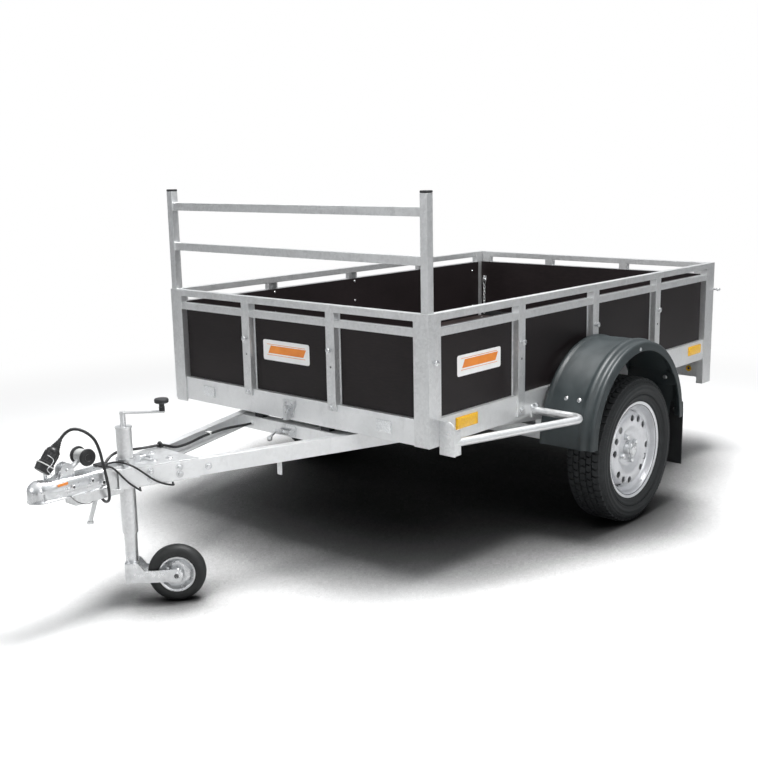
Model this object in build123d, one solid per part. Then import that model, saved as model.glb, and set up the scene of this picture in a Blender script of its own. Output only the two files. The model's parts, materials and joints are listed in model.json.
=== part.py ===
from build123d import *
import os
from math import atan2, cos, degrees, hypot, pi, radians, sin, tan

# A single-axle tipping box trailer on its road wheels and jockey wheel, in millimetres.
# The sizes are written with x to the trailer's left, y rearwards from the body's front face
# and z up from the floor. save() moves all of it so that the middle of its length is at y = 0.

os.makedirs("parts", exist_ok=True)

# Body
BODY_W = 1284
BODY_L = 2005
RAIL_TOP_Z = 882
RAIL = 24
RAIL_GAP = 26
BEAM_TOP_Z = 542
BEAM_BOTTOM_Z = 455
BEAM_SET_BACK = 8
BEAM_FLANGE = 40
SHEET = 3
WALL_DEPTH = 25
POST_W = 54
POST_CROWN = 40
FRONT_POST_DROP = 22
SIDE_POST_DROP = 75
CORNER_LEG = 62
PANEL_T = 12
FLOOR_T = 12
POST_SHEET = 2
POST_LEDGE = 4
FRONT_POST_X = (-BODY_W / 6, BODY_W / 6)
FIRST_POST_Y = 508
LAST_BAY_L = 442
CROSS_MEMBER_Y = (420, 880, 1400)
CROSS_MEMBER_FLANGE = 35

# Rear portal and tailgate
PORTAL_L = 75
PORTAL_W = 30
PORTAL_BOTTOM_Z = 345
LAMP_BOARD_BOTTOM_Z = 362
LAMP_BOARD_SET_IN = 25
LAMP_BOARD_T = 3
GATE_SIDE_GAP = 6
GATE_BOTTOM_Z = 567
GATE_REAR_GAP = 8
GATE_POST_X = (-205, 205)
GATE_HINGE_OUT = 192
GATE_STILE_W = 45
GATE_HINGE_X = (GATE_HINGE_OUT - BODY_W / 2, 0, BODY_W / 2 - GATE_HINGE_OUT)
GATE_HINGE_Z = 553
GATE_HINGE_SET_IN = 14
KNUCKLE_R = 8
KNUCKLE_L = 30
KNUCKLE_GAP = 0.5
HINGE_PIN_R = 4
RUNNING_GAP = 0.05
GATE_LATCH_Z = 762
GATE_LATCH_REACH = 50
GATE_PLATE_HALF = 34
GATE_PLATE_T = 6
GATE_HANDLE_R = 7
GATE_HANDLE_HALF = 22
GATE_TONGUE_GAP = 5
GATE_TONGUE_HALF = 12

# Headboard rack
HEAD_POST = 28
HEAD_TOP_Z = 1252
HEAD_CAP_T = 8
HEAD_SET_IN = 18
HEAD_BAR_H = 28
HEAD_BAR_T = 20
HEAD_BAR_DROP = 57
HEAD_BAR_LIFT = 6.5

# Road wheels
WHEEL_Y = 984
TYRE_R = 273.5
TYRE_W = 155
WHEEL_GAP = 46.5
WHEEL_X = BODY_W / 2 + WHEEL_GAP + TYRE_W / 2
TYRE_SHOULDER = 18
RIM_R = 182
RIM_SEAT_R = 165
RIM_W = 122
RIM_T = 4
SEAT_W = 30
DROP_SLOPE = 12
DISC_OFFSET = 30
DISC_CROWN = 14
DISC_EDGE_BACK = 10
DISC_T = 5
DISC_HUB_R = 72
BOLT_COUNT = 4
BOLT_PCD = 100
BOLT_HOLE_R = 6.5
CENTRE_HOLE_R = 30
VENT_R = 12.5
VENT_RING_R = 118
VENT_TURN = 65
CRESCENT_R = 30
CRESCENT_RING_R = 166
VENT_EDGE = 2
DROP_CENTRE = 22
HUB_R = 62
HUB_L = 70
HUB_STEP = 14
HUB_CAP_R = 29.5
HUB_CAP_L = 26
HUB_CAP_CROWN = 8

# Axle
AXLE_LEAD = 150
AXLE_Y = WHEEL_Y - AXLE_LEAD
AXLE_Z = 328
AXLE_SIDE = 50
SWING_ARM_OUT = 166
AXLE_HALF = WHEEL_X - SWING_ARM_OUT
SWING_ARM_T = 28
SWING_BOSS_R = 38
SWING_EYE_R = 30
SWING_ARM_H = 54
SPINDLE_R = 17
SPINDLE_SHORT = 8
SADDLE_HALF = 40

# Drawbar
ARM_NOSE_X = 35
ARM_H = 54
ARM_Z = 390
ARM_FLANGE = 30
ARM_T = 4
ARM_NOSE_Y = -742
PIVOT_Y = WHEEL_Y
PIVOT_Z = 417
PIVOT_TUBE_R = 24
PIVOT_TUBE_SET_IN = 26
PIVOT_TUBE_HALF = BODY_W / 2 - PIVOT_TUBE_SET_IN
EAR_GAP = 4
PIVOT_PIN_R = 10
PIVOT_PIN_STAND = 8
EAR_T = 6
EAR_HALF_L = 45
EAR_EYE_R = 26
BUFFER_X = 170
BUFFER_HALF = 20
BUFFER_IN = 8
CROSS_BEAM_Y = 0
CROSS_BEAM_DEPTH = 45
LATCH_PIN_OUT = 17
LATCH_PIN_Z = 414
LATCH_PIN_R = 6
LATCH_CHEEK_X = (24, 29)
LATCH_CHEEK_R = 11
LATCH_LEVER_X = 52
LATCH_PLATE_HALF = 30
LATCH_BAR_HALF = 8
LATCH_PLATE_EDGE = 14
LATCH_BAR_DEPTH = 4
LATCH_FOOT_EDGE = 7
LATCH_FOOT_T = 5
LATCH_BALL = (-88, 378)
LATCH_BALL_R = 10
SEAT_GAP = 0.3
NOSE_PLATE_T = 5
NOSE_PLATE_Y = (-760, -500)
NECK_Y = (-890, -722)
NECK_W = 56
NECK_BOTTOM_Z = 372

# Coupling
BALL_Y = -991
BALL_Z = 436
BALL_R = 25.2
DOME_R = 32
HEAD_REAR_Y = -785
COUPLING_TOP_Z = 462
GRIP_Y = -838
GRIP_Z = 508
GRIP_R = 22
GRIP_HALF = 32
GRIP_FLANGE = 9
LEVER_BACK = 76
LEVER_R = 8
HEAD_SKIRT_Z = 405
HEAD_W = 76
HEAD_T = 5
HEAD_FLANGE = 5
HEAD_FLUTE = 7
PROP_TOP_Y = -804
PROP_FOOT = (-829, 303)
PROP_R = 6.5
PROP_FOOT_R = 10
PROP_FOOT_T = 7
PROP_PLATE_T = 4

# Jockey wheel
JOCKEY_Y = -690
JOCKEY_OUT_R = 24
JOCKEY_IN_R = 20
JOCKEY_RUN_GAP = 0.08
JOCKEY_TOP_Z = 566
JOCKEY_OUT_BOTTOM_Z = 231
JOCKEY_IN_BOTTOM_Z = 172
JOCKEY_IN_TOP_Z = 505
JOCKEY_TYRE_R = 91
JOCKEY_TYRE_W = 50
JOCKEY_RIM_R = 56
JOCKEY_BOSS_R = 18
JOCKEY_WEB = 8
JOCKEY_CROWN_H = 34
FORK_GAP = 6
FORK_T = 5
FORK_EYE_R = 20
FORK_ROOT_R = 17
CLAMP_H = 22
CLAMP_SCREW_L = 50
CLAMP_BAR_HALF = 28
CLAMP_WALL = 6
CLAMP_LUG_HALF = 12
CLAMP_LUG_L = 20
CLAMP_SCREW_R = 5
JOCKEY_PIN_R = 6
JOCKEY_TRAIL = 137
JOCKEY_ANGLE = 48
CRANK_R = 120
CRANK_Z = 612
CRANK_ANGLE = 45
CRANK_T = 5
CRANK_STEM_R = 8
CRANK_KNOB_STEM_L = 16
CRANK_KNOB_H = 26
CRANK_KNOB_R = 22
JOCKEY_LID_T = 4
JOCKEY_END_T = 6
JOCKEY_TUBE_T = 4
JOCKEY_BEAD = 4
JOCKEY_SIDEWALL = 10
JOCKEY_SHOULDER = 12

# Mudguards, flaps and hoops
GUARD_ROOM = 76.5
GUARD_R = TYRE_R + GUARD_ROOM
GUARD_LEAD = 14
GUARD_Y = WHEEL_Y - GUARD_LEAD
GUARD_LIFT = 71.5
GUARD_Z = TYRE_R + GUARD_LIFT
GUARD_COVER = 14.5
GUARD_OUT_X = WHEEL_X + TYRE_W / 2 + GUARD_COVER
GUARD_T = 4
GUARD_SKIRT = 42
GUARD_LIP = 24
FLAP_T = 5
FLAP_BOTTOM_Z = 150
FLAP_LAP = 60
HOOP_R = 13.5
HOOP_Z = 470
HOOP_INSIDE_GUARD = 12
HOOP_OUT_X = GUARD_OUT_X - HOOP_INSIDE_GUARD
HOOP_GUARD_GAP = 20
HOOP_REAR_Y = GUARD_Y - GUARD_R - HOOP_GUARD_GAP
HOOP_BEND_R = 38
BRACKET_Y = 50
BRACKET_W = 62
BRACKET_T = 5
BRACKET_HOLE_R = 5
BRACKET_Z = (428, 540)

# Lamps, reflectors and knobs
REFLECTOR_L = 116
REFLECTOR_H = 40
REFLECTOR_T = 6
REFLECTOR_Z = 509
REFLECTOR_END = 203
REFLECTOR_REAR_END = 153
REFLECTOR_Y = (REFLECTOR_END, BODY_L - REFLECTOR_REAR_END)
WHITE_REFLECTOR = 62
WHITE_REFLECTOR_SET_IN = 197
WHITE_REFLECTOR_DROP = 8
WHITE_REFLECTOR_X = BODY_W / 2 - WHITE_REFLECTOR_SET_IN
LAMP_W = 210
LAMP_H = 84
LAMP_T = 44
LAMP_SET_IN = 14
LAMP_LIFT = 3
KNOB_Z = 729
KNOB_R = 10
KNOB_L = 14
KNOB_STEM_R = 4
KNOB_HEAD_T = 6

# Cords
CABLE_R = 4.5
THIN_R = 3
PLUG_R = 24
PLUG_L = 86
PLUG_BARREL_L = 53
PLUG_NECK_R = 15
HOLDER_L = 22
HOLDER_WALL = 3
HOLDER_BACK = 4
HOLDER_STEM_R = 7
PLUG_X = -10
PLUG_FOOT_Y = -956
PLUG_FOOT_Z = 505
PLUG_LEAN = 50
MAIN_CABLE = (
    (-10, -900.7, 570.9),
    (-10, -885.3, 589.3),
    (8, -856, 600),
    (36, -822, 572),
    (50, -812, 534),
    (53, -806, 492),
    (54, -798, 450),
    (52, -790, 406),
    (40, -782, 364),
    (0, -774, 348),
    (-38, -764, 362),
    (-54, -750, 404),
    (-64, -726, 446),
    (-80, -684, 468),
    (-96, -624, 464),
    (-98, -572, 457),
    (-88, -532, 457),
    (-84, -492, 457),
    (-82, -452, 440),
    (-96, -412, 430),
    (-124, -340, 426),
    (-150, -266, 429),
    (-176, -196, 424),
    (-196, -130, 421),
    (-206, -76, 416),
    (-198, -34, 415),
    (-198, -8, 415),
)
LEFT_CABLE_UPPER = (
    (-14, -756, 461.5),
    (-14, -744, 461.5),
    (2, -728, 466),
    (34, -718, 466),
    (58, -698, 453),
    (71, -670, 426),
    (80, -642, 400),
    (89, -614, 385),
    (93, -588, 376),
    (79, -572, 371),
    (64, -566, 371),
    (64, -566, 384.7),
)
LEFT_CABLE_LOWER = (
    (4, -770, 461.5),
    (14, -770, 461.5),
    (34, -764, 464),
    (45, -750, 446),
    (50, -734, 424),
    (56, -716, 402),
    (62, -696, 385),
    (58, -680, 373),
    (40, -672, 371),
    (40, -672, 384.7),
)
CABLE_TIE = ((-34, 4), (-784, -756), 9)
GLAND_R = 9
GLAND_L = 8

# Places that several pieces share
HALF_W = BODY_W / 2
PANEL_X = HALF_W - WALL_DEPTH
PORTAL_Y = BODY_L - PORTAL_L
LAST_POST_Y = PORTAL_Y - LAST_BAY_L
SIDE_POST_Y = (FIRST_POST_Y, (FIRST_POST_Y + LAST_POST_Y) / 2, LAST_POST_Y)
UPPER_BAR_Z = HEAD_TOP_Z - HEAD_BAR_DROP
HEAD_BAR_Z = ((RAIL_TOP_Z + UPPER_BAR_Z) / 2 + HEAD_BAR_LIFT, UPPER_BAR_Z)
SECOND_TOP_Z = RAIL_TOP_Z - RAIL - RAIL_GAP
SECOND_BOTTOM_Z = SECOND_TOP_Z - RAIL
FLOOR_TOP_Z = BEAM_TOP_Z + FLOOR_T
GATE_REAR_Y = BODY_L - GATE_REAR_GAP
GATE_INNER_Y = GATE_REAR_Y - WALL_DEPTH - PANEL_T
GATE_HALF = HALF_W - PORTAL_W - GATE_SIDE_GAP
GATE_HINGE_Y = BODY_L - GATE_HINGE_SET_IN
BRACKET_OUT_X = HALF_W + BRACKET_W
NOSE_TIP_Y = BALL_Y - DOME_R
REAR_TIP_Y = GATE_REAR_Y + GATE_LATCH_REACH
MIDDLE_Y = (NOSE_TIP_Y + REAR_TIP_Y) / 2
ARM_SPREAD = (PIVOT_TUBE_HALF - ARM_NOSE_X) / (PIVOT_Y - ARM_NOSE_Y)
ARM_ANGLE = degrees(atan2(ARM_SPREAD, 1))


def block(x0, x1, y0, y1, z0, z1):
    """A box between two opposite corners."""
    return Pos((x0 + x1) / 2, (y0 + y1) / 2, (z0 + z1) / 2) * Box(
        abs(x1 - x0), abs(y1 - y0), abs(z1 - z0)
    )


def rod(p, q, radius, inner=0):
    """A round bar or tube from p to q."""
    start, end = Vector(*p), Vector(*q)
    plane = Plane(origin=start, z_dir=end - start)
    section = Circle(radius) - Circle(inner) if inner else Circle(radius)
    return extrude(plane * section, (end - start).length)


def turned(points, x, y, z):
    """A ring or disc turned about the axle direction from (distance out, radius) points."""
    face = make_face(Polyline(*[(out, r) for out, r in points], close=True))
    return Pos(x, y, z) * revolve(face, Axis.X, 360)


def both_sides(shape):
    """The left piece and its mirror image on the right."""
    return [shape, mirror(shape, about=Plane.YZ)]


def save(name, *pieces):
    """Write one node as one STEP, with the middle of the trailer's length at y = 0."""
    solids = []
    for piece in pieces:
        solids.extend((Pos(0, -MIDDLE_Y, 0) * piece).solids())
    shape = solids[0] if len(solids) == 1 else Compound(solids)
    shape.label = name
    export_step(shape, f"parts/{name}.step")


def arm_x(y):
    """How far out the left drawbar arm's outer face is at y."""
    return ARM_NOSE_X + ARM_SPREAD * (y - ARM_NOSE_Y)


# Drawbar arms: folded channels that open inwards
def drawbar_arm():
    pitch = radians(ARM_ANGLE)
    length = (PIVOT_Y - ARM_NOSE_Y) / cos(pitch)
    outer = block(-ARM_FLANGE, 0, 0, length, 0, ARM_H)
    inner = block(-ARM_FLANGE, -ARM_T, 0, length, ARM_T, ARM_H - ARM_T)
    channel = Pos(arm_x(ARM_NOSE_Y), ARM_NOSE_Y, ARM_Z) * Rot(0, 0, -ARM_ANGLE) * (outer - inner)
    tube = rod((0, PIVOT_Y, PIVOT_Z), (PIVOT_TUBE_HALF * 2, PIVOT_Y, PIVOT_Z), PIVOT_TUBE_R)
    low, high = ARM_Z - 1, ARM_Z + ARM_H + 1
    behind = block(0, HALF_W * 2, PIVOT_Y, PIVOT_Y + length, low, high)
    leg_room = rod((0, JOCKEY_Y, low), (0, JOCKEY_Y, high), JOCKEY_OUT_R + 1)
    neck_room = block(-NECK_W / 2, NECK_W / 2, NECK_Y[0], NECK_Y[1], low, high)
    other_half = block(-HALF_W, 0, ARM_NOSE_Y - ARM_FLANGE, PIVOT_Y, low, high)
    return channel - tube - behind - leg_room - neck_room - other_half


save("drawbar_arms", *both_sides(drawbar_arm()))


# Plates above and below the nose, with the jockey leg's hole
def nose_plate(z):
    front_y, rear_y = NOSE_PLATE_Y
    outline = Polyline(
        (arm_x(front_y), front_y),
        (arm_x(rear_y), rear_y),
        (-arm_x(rear_y), rear_y),
        (-arm_x(front_y), front_y),
        close=True,
    )
    plate = Pos(0, 0, z) * extrude(make_face(outline), NOSE_PLATE_T)
    return plate - rod((0, JOCKEY_Y, z - 1), (0, JOCKEY_Y, z + 10), JOCKEY_OUT_R)


neck_top = COUPLING_TOP_Z - HEAD_T
neck = block(-NECK_W / 2, NECK_W / 2, *NECK_Y, NECK_BOTTOM_Z, neck_top)
neck -= block(-NECK_W / 2 + ARM_T, NECK_W / 2 - ARM_T, *NECK_Y, NECK_BOTTOM_Z + ARM_T, neck_top - ARM_T)
save("drawbar_nose", neck + nose_plate(ARM_Z + ARM_H) + nose_plate(ARM_Z - NOSE_PLATE_T))


# Cross beam between the arms, under the front of the body
def cross_beam():
    reach = arm_x(CROSS_BEAM_Y + CROSS_BEAM_DEPTH)
    outer = block(-reach, reach, CROSS_BEAM_Y, CROSS_BEAM_Y + CROSS_BEAM_DEPTH,
                  ARM_Z + ARM_T, ARM_Z + ARM_H - ARM_T)
    inner = block(-reach, reach, CROSS_BEAM_Y + ARM_T, CROSS_BEAM_Y + CROSS_BEAM_DEPTH,
                  ARM_Z + 2 * ARM_T, ARM_Z + ARM_H - 2 * ARM_T)
    beam = outer - inner
    pitch = radians(ARM_ANGLE)
    cut = Pos(arm_x(ARM_NOSE_Y), ARM_NOSE_Y, 0) * Rot(0, 0, -ARM_ANGLE) * block(
        -ARM_T, reach, 0, BODY_L / cos(pitch), ARM_Z, ARM_Z + ARM_H)
    return beam - cut - mirror(cut, about=Plane.YZ)


gland_x, gland_y, gland_z = MAIN_CABLE[-1]
gland = rod((gland_x, gland_y, gland_z), (gland_x, gland_y + GLAND_L, gland_z), GLAND_R)
save("drawbar_cross_beam", cross_beam() + gland)

# Tube across the arms' rear ends, with the pins that the body tips on
pivot_tube = rod((-PIVOT_TUBE_HALF, PIVOT_Y, PIVOT_Z), (PIVOT_TUBE_HALF, PIVOT_Y, PIVOT_Z), PIVOT_TUBE_R)
EAR_X = PIVOT_TUBE_HALF + EAR_GAP
PIN_TIP_X = EAR_X + EAR_T + PIVOT_PIN_STAND
left_pin = rod((PIVOT_TUBE_HALF, PIVOT_Y, PIVOT_Z), (PIN_TIP_X, PIVOT_Y, PIVOT_Z), PIVOT_PIN_R)
for pin in both_sides(left_pin):
    pivot_tube += pin
save("tipping_pivot_tube", pivot_tube)

# Axle: a square tube under the arms on two saddles, with trailing swing arms to the spindles
beam_top = AXLE_Z + AXLE_SIDE / 2
axle = block(-AXLE_HALF, AXLE_HALF, AXLE_Y - AXLE_SIDE / 2, AXLE_Y + AXLE_SIDE / 2,
             AXLE_Z - AXLE_SIDE / 2, beam_top)
saddle_x = arm_x(AXLE_Y) - ARM_FLANGE / 2
saddle = block(saddle_x - SADDLE_HALF, saddle_x + SADDLE_HALF - AXLE_SIDE / 5, AXLE_Y - SADDLE_HALF,
               AXLE_Y + SADDLE_HALF, beam_top, ARM_Z)
for piece in both_sides(saddle):
    axle += piece
save("axle_beam", axle)


def swing_arm():
    rise = AXLE_Z - TYRE_R
    run = WHEEL_Y - AXLE_Y
    boss = rod((AXLE_HALF, AXLE_Y, AXLE_Z), (AXLE_HALF + SWING_ARM_T, AXLE_Y, AXLE_Z), SWING_BOSS_R)
    eye = rod((AXLE_HALF, WHEEL_Y, TYRE_R), (AXLE_HALF + SWING_ARM_T, WHEEL_Y, TYRE_R), SWING_EYE_R)
    lean = degrees(atan2(rise, run))
    web = Pos(AXLE_HALF + SWING_ARM_T / 2, (AXLE_Y + WHEEL_Y) / 2, (AXLE_Z + TYRE_R) / 2)
    web = web * Rot(-lean, 0, 0) * Box(SWING_ARM_T, hypot(rise, run), SWING_ARM_H)
    spindle_end = WHEEL_X + DISC_OFFSET - SPINDLE_SHORT
    spindle = rod((AXLE_HALF, WHEEL_Y, TYRE_R), (spindle_end, WHEEL_Y, TYRE_R), SPINDLE_R)
    return boss + eye + web + spindle


save("axle_swing_arms", *both_sides(swing_arm()))


# Road wheels: tyre, pressed rim and hub, each turned about the axle line
def tyre():
    half = TYRE_W / 2
    bead = RIM_W / 2 - RIM_T
    profile = [
        (-bead, RIM_SEAT_R + RIM_T),
        (-bead, RIM_R + 1),
        (-half, (RIM_R + TYRE_R) / 2),
        (-half + TYRE_SHOULDER, TYRE_R),
        (half - TYRE_SHOULDER, TYRE_R),
        (half, (RIM_R + TYRE_R) / 2),
        (bead, RIM_R + 1),
        (bead, RIM_SEAT_R + RIM_T),
    ]
    return turned(profile, WHEEL_X, WHEEL_Y, TYRE_R)


def rim():
    half = RIM_W / 2
    drop_r = RIM_SEAT_R - DROP_CENTRE
    barrel = turned(
        [
            (-half, RIM_R),
            (-half, RIM_SEAT_R),
            (-half + SEAT_W, RIM_SEAT_R - RIM_T),
            (-half + SEAT_W + DROP_SLOPE, drop_r),
            (half - SEAT_W - DROP_SLOPE, drop_r),
            (half - SEAT_W, RIM_SEAT_R - RIM_T),
            (half, RIM_SEAT_R),
            (half, RIM_R),
            (half - RIM_T, RIM_R),
            (half - RIM_T, RIM_SEAT_R + RIM_T),
            (half - SEAT_W, RIM_SEAT_R),
            (half - SEAT_W - DROP_SLOPE, drop_r + RIM_T),
            (-half + SEAT_W + DROP_SLOPE, drop_r + RIM_T),
            (-half + SEAT_W, RIM_SEAT_R),
            (-half + RIM_T, RIM_SEAT_R + RIM_T),
            (-half + RIM_T, RIM_R),
        ],
        WHEEL_X, WHEEL_Y, TYRE_R,
    )
    face = DISC_OFFSET
    break_r = VENT_RING_R + VENT_R + VENT_EDGE
    disc = turned(
        [
            (face, CENTRE_HOLE_R),
            (face, DISC_HUB_R),
            (face + DISC_CROWN, DISC_HUB_R + DISC_CROWN),
            (face + DISC_CROWN, break_r),
            (face - DISC_EDGE_BACK, drop_r + RIM_T / 2),
            (face - DISC_EDGE_BACK - DISC_T, drop_r + RIM_T / 2),
            (face + DISC_CROWN - DISC_T, break_r - VENT_EDGE / 2),
            (face + DISC_CROWN - DISC_T, DISC_HUB_R + DISC_CROWN + DISC_T / 2),
            (face - DISC_T, DISC_HUB_R + DISC_T),
            (face - DISC_T, CENTRE_HOLE_R),
        ],
        WHEEL_X, WHEEL_Y, TYRE_R,
    )

    def hole(ring, angle, radius):
        y = WHEEL_Y + ring * cos(radians(angle))
        z = TYRE_R + ring * sin(radians(angle))
        return rod((WHEEL_X, y, z), (WHEEL_X + RIM_W, y, z), radius)

    quarter = 360 / BOLT_COUNT
    for bolt in range(BOLT_COUNT):
        middle = VENT_TURN + quarter * bolt
        for step in (-1, 0, 1):
            disc -= hole(VENT_RING_R, middle + quarter / 4 * step, VENT_R)
        disc -= hole(BOLT_PCD / 2, middle + quarter / 2, BOLT_HOLE_R)
        disc -= hole(CRESCENT_RING_R, middle, CRESCENT_R)
    return barrel + disc


def hub():
    seat = DISC_OFFSET - DISC_T
    spin_gap = SPINDLE_R + RUNNING_GAP
    return turned(
        [
            (seat - HUB_L, spin_gap),
            (seat - HUB_L, HUB_R - HUB_STEP),
            (seat - HUB_STEP, HUB_R - HUB_STEP),
            (seat - HUB_STEP, HUB_R),
            (seat, HUB_R),
            (seat, HUB_CAP_R),
            (seat + HUB_CAP_L, HUB_CAP_R),
            (seat + HUB_CAP_L + HUB_CAP_CROWN, HUB_CAP_R - HUB_CAP_CROWN),
            (seat + HUB_CAP_L + HUB_CAP_CROWN, 0),
            (seat + HUB_CAP_L - 2, 0),
            (seat + HUB_CAP_L - 2, spin_gap),
        ],
        WHEEL_X, WHEEL_Y, TYRE_R,
    )


for name, maker in (("tyre", tyre), ("rim", rim), ("hub", hub)):
    left_piece, right_piece = both_sides(maker())
    save(f"road_{name}_left", left_piece)
    save(f"road_{name}_right", right_piece)


# Body frame: folded channel beams under the walls
def side_beam():
    face = HALF_W - BEAM_SET_BACK
    outer = block(face - BEAM_FLANGE, face, CORNER_LEG, PORTAL_Y, BEAM_BOTTOM_Z, BEAM_TOP_Z)
    inner = block(face - BEAM_FLANGE, face - SHEET, CORNER_LEG, PORTAL_Y,
                  BEAM_BOTTOM_Z + SHEET, BEAM_TOP_Z - SHEET)
    return outer - inner


def front_beam():
    reach = HALF_W - CORNER_LEG
    outer = block(-reach, reach, BEAM_SET_BACK, BEAM_SET_BACK + BEAM_FLANGE, BEAM_BOTTOM_Z, BEAM_TOP_Z)
    inner = block(-reach, reach, BEAM_SET_BACK + SHEET, BEAM_SET_BACK + BEAM_FLANGE,
                  BEAM_BOTTOM_Z + SHEET, BEAM_TOP_Z - SHEET)
    return outer - inner


def cross_member(y):
    reach = HALF_W - BEAM_SET_BACK - SHEET
    low, high = BEAM_BOTTOM_Z + SHEET, BEAM_TOP_Z - SHEET
    outer = block(-reach, reach, y, y + CROSS_MEMBER_FLANGE, low, high)
    inner = block(-reach, reach, y + SHEET, y + CROSS_MEMBER_FLANGE, low + SHEET, high - SHEET)
    return outer - inner


save("body_beams", *both_sides(side_beam()), front_beam())
save("cross_members", *[cross_member(y) for y in CROSS_MEMBER_Y])

floor = block(-PANEL_X + PANEL_T, PANEL_X - PANEL_T, WALL_DEPTH + PANEL_T, PORTAL_Y,
              BEAM_TOP_Z, FLOOR_TOP_Z)
floor += block(-GATE_HALF, GATE_HALF, PORTAL_Y, GATE_INNER_Y - 6, BEAM_TOP_Z, FLOOR_TOP_Z)
save("load_floor", floor)


# Corner posts: L-shaped uprights that the rails and beams butt against
def corner_post():
    outline = Polyline(
        (HALF_W, 0),
        (HALF_W, CORNER_LEG),
        (HALF_W - WALL_DEPTH, CORNER_LEG),
        (HALF_W - WALL_DEPTH, WALL_DEPTH),
        (HALF_W - CORNER_LEG, WALL_DEPTH),
        (HALF_W - CORNER_LEG, 0),
        close=True,
    )
    return Pos(0, 0, BEAM_BOTTOM_Z) * extrude(make_face(outline), RAIL_TOP_Z - BEAM_BOTTOM_Z)


save("front_corner_posts", *both_sides(corner_post()))


# Wall posts: folded hat sections, open towards the panel, whose foot laps over the beam
def post_outline():
    """The outer corners of a post's section, from one foot round the crown to the other."""
    foot_x = POST_W / 2 - POST_LEDGE
    ledge_y = WALL_DEPTH - POST_SHEET
    half = [(POST_CROWN / 2, 0), (foot_x, ledge_y), (POST_W / 2, ledge_y), (POST_W / 2, WALL_DEPTH)]
    return [(-x, y) for x, y in reversed(half)] + half


def upright(outline):
    """A bar of this section between the beam and the top rail, at the origin and facing forwards."""
    face = make_face(Polyline(*outline, close=True))
    return Pos(0, 0, BEAM_TOP_Z) * extrude(face, RAIL_TOP_Z - RAIL - BEAM_TOP_Z)


def wall_post(drop):
    """A post at the origin, its crown at y = 0 facing forwards."""
    crown_x = POST_CROWN / 2 - POST_SHEET
    foot_x = POST_W / 2 - POST_LEDGE - POST_SHEET
    inside = [(-foot_x, WALL_DEPTH), (-crown_x, POST_SHEET), (crown_x, POST_SHEET), (foot_x, WALL_DEPTH)]
    post = upright(post_outline()) - upright(inside)
    foot = block(-POST_CROWN / 2, POST_CROWN / 2, 0, BEAM_SET_BACK, BEAM_TOP_Z - drop, BEAM_TOP_Z)
    return post + foot


front_posts = [Pos(x, 0, 0) * wall_post(FRONT_POST_DROP) for x in FRONT_POST_X]
side_posts = []
for y in SIDE_POST_Y:
    side_posts.extend(both_sides(Pos(HALF_W, y, 0) * Rot(0, 0, 90) * wall_post(SIDE_POST_DROP)))
save("wall_posts", *front_posts, *side_posts)

# Rails: the top rail, and under the open gap a second rail between the posts
side_span = (CORNER_LEG, PORTAL_Y)
front_span = (-(HALF_W - CORNER_LEG), HALF_W - CORNER_LEG)
top_z = (RAIL_TOP_Z - RAIL, RAIL_TOP_Z)
top_rails = both_sides(block(PANEL_X, HALF_W, *side_span, *top_z))
top_rails.append(block(*front_span, 0, WALL_DEPTH, *top_z))
side_second = block(PANEL_X, HALF_W - 2, *side_span, SECOND_BOTTOM_Z, SECOND_TOP_Z)
front_second = block(*front_span, 2, WALL_DEPTH, SECOND_BOTTOM_Z, SECOND_TOP_Z)
for y in SIDE_POST_Y:
    side_second -= Pos(HALF_W, y, 0) * Rot(0, 0, 90) * upright(post_outline())
for x in FRONT_POST_X:
    front_second -= Pos(x, 0, 0) * upright(post_outline())
save("wall_rails", *top_rails, *both_sides(side_second), front_second)

# Wall panels stand on the beams, inside the posts
save("front_panel", block(-PANEL_X, PANEL_X, WALL_DEPTH, WALL_DEPTH + PANEL_T, BEAM_TOP_Z, SECOND_TOP_Z))
side_panel = block(PANEL_X - PANEL_T, PANEL_X, WALL_DEPTH + PANEL_T, PORTAL_Y, BEAM_TOP_Z, SECOND_TOP_Z)
save("side_panels", *both_sides(side_panel))


# Rear portal: two deep uprights and the sill between them
def portal_post():
    tube = block(HALF_W - PORTAL_W, HALF_W, PORTAL_Y, BODY_L, PORTAL_BOTTOM_Z, RAIL_TOP_Z)
    return tube - block(HALF_W - PORTAL_W + SHEET, HALF_W - SHEET, PORTAL_Y + SHEET, BODY_L - SHEET,
                        PORTAL_BOTTOM_Z, RAIL_TOP_Z - SHEET)


save("rear_portal_posts", *both_sides(portal_post()))
sill_half = HALF_W - PORTAL_W
sill = block(-sill_half, sill_half, PORTAL_Y, BODY_L, BEAM_BOTTOM_Z, BEAM_TOP_Z)
sill -= block(-sill_half, sill_half, PORTAL_Y - 1, BODY_L - SHEET, BEAM_BOTTOM_Z + SHEET, BEAM_TOP_Z - SHEET)
for x in GATE_HINGE_X:
    for side in (-1, 1):
        near = x + side * (KNUCKLE_L / 2 + KNUCKLE_GAP)
        far = near + side * KNUCKLE_L / 2
        sill += rod((near, GATE_HINGE_Y, GATE_HINGE_Z), (far, GATE_HINGE_Y, GATE_HINGE_Z), KNUCKLE_R)
        sill += block(near, far, GATE_HINGE_Y - KNUCKLE_R, GATE_HINGE_Y, BEAM_TOP_Z, GATE_HINGE_Z)
    reach = KNUCKLE_L / 2 + KNUCKLE_GAP
    sill += rod((x - reach, GATE_HINGE_Y, GATE_HINGE_Z), (x + reach, GATE_HINGE_Y, GATE_HINGE_Z), HINGE_PIN_R)
board_y = BODY_L - LAMP_BOARD_SET_IN
sill += block(-sill_half, sill_half, board_y, board_y + LAMP_BOARD_T, LAMP_BOARD_BOTTOM_Z, BEAM_BOTTOM_Z)
save("rear_sill", sill)

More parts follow.
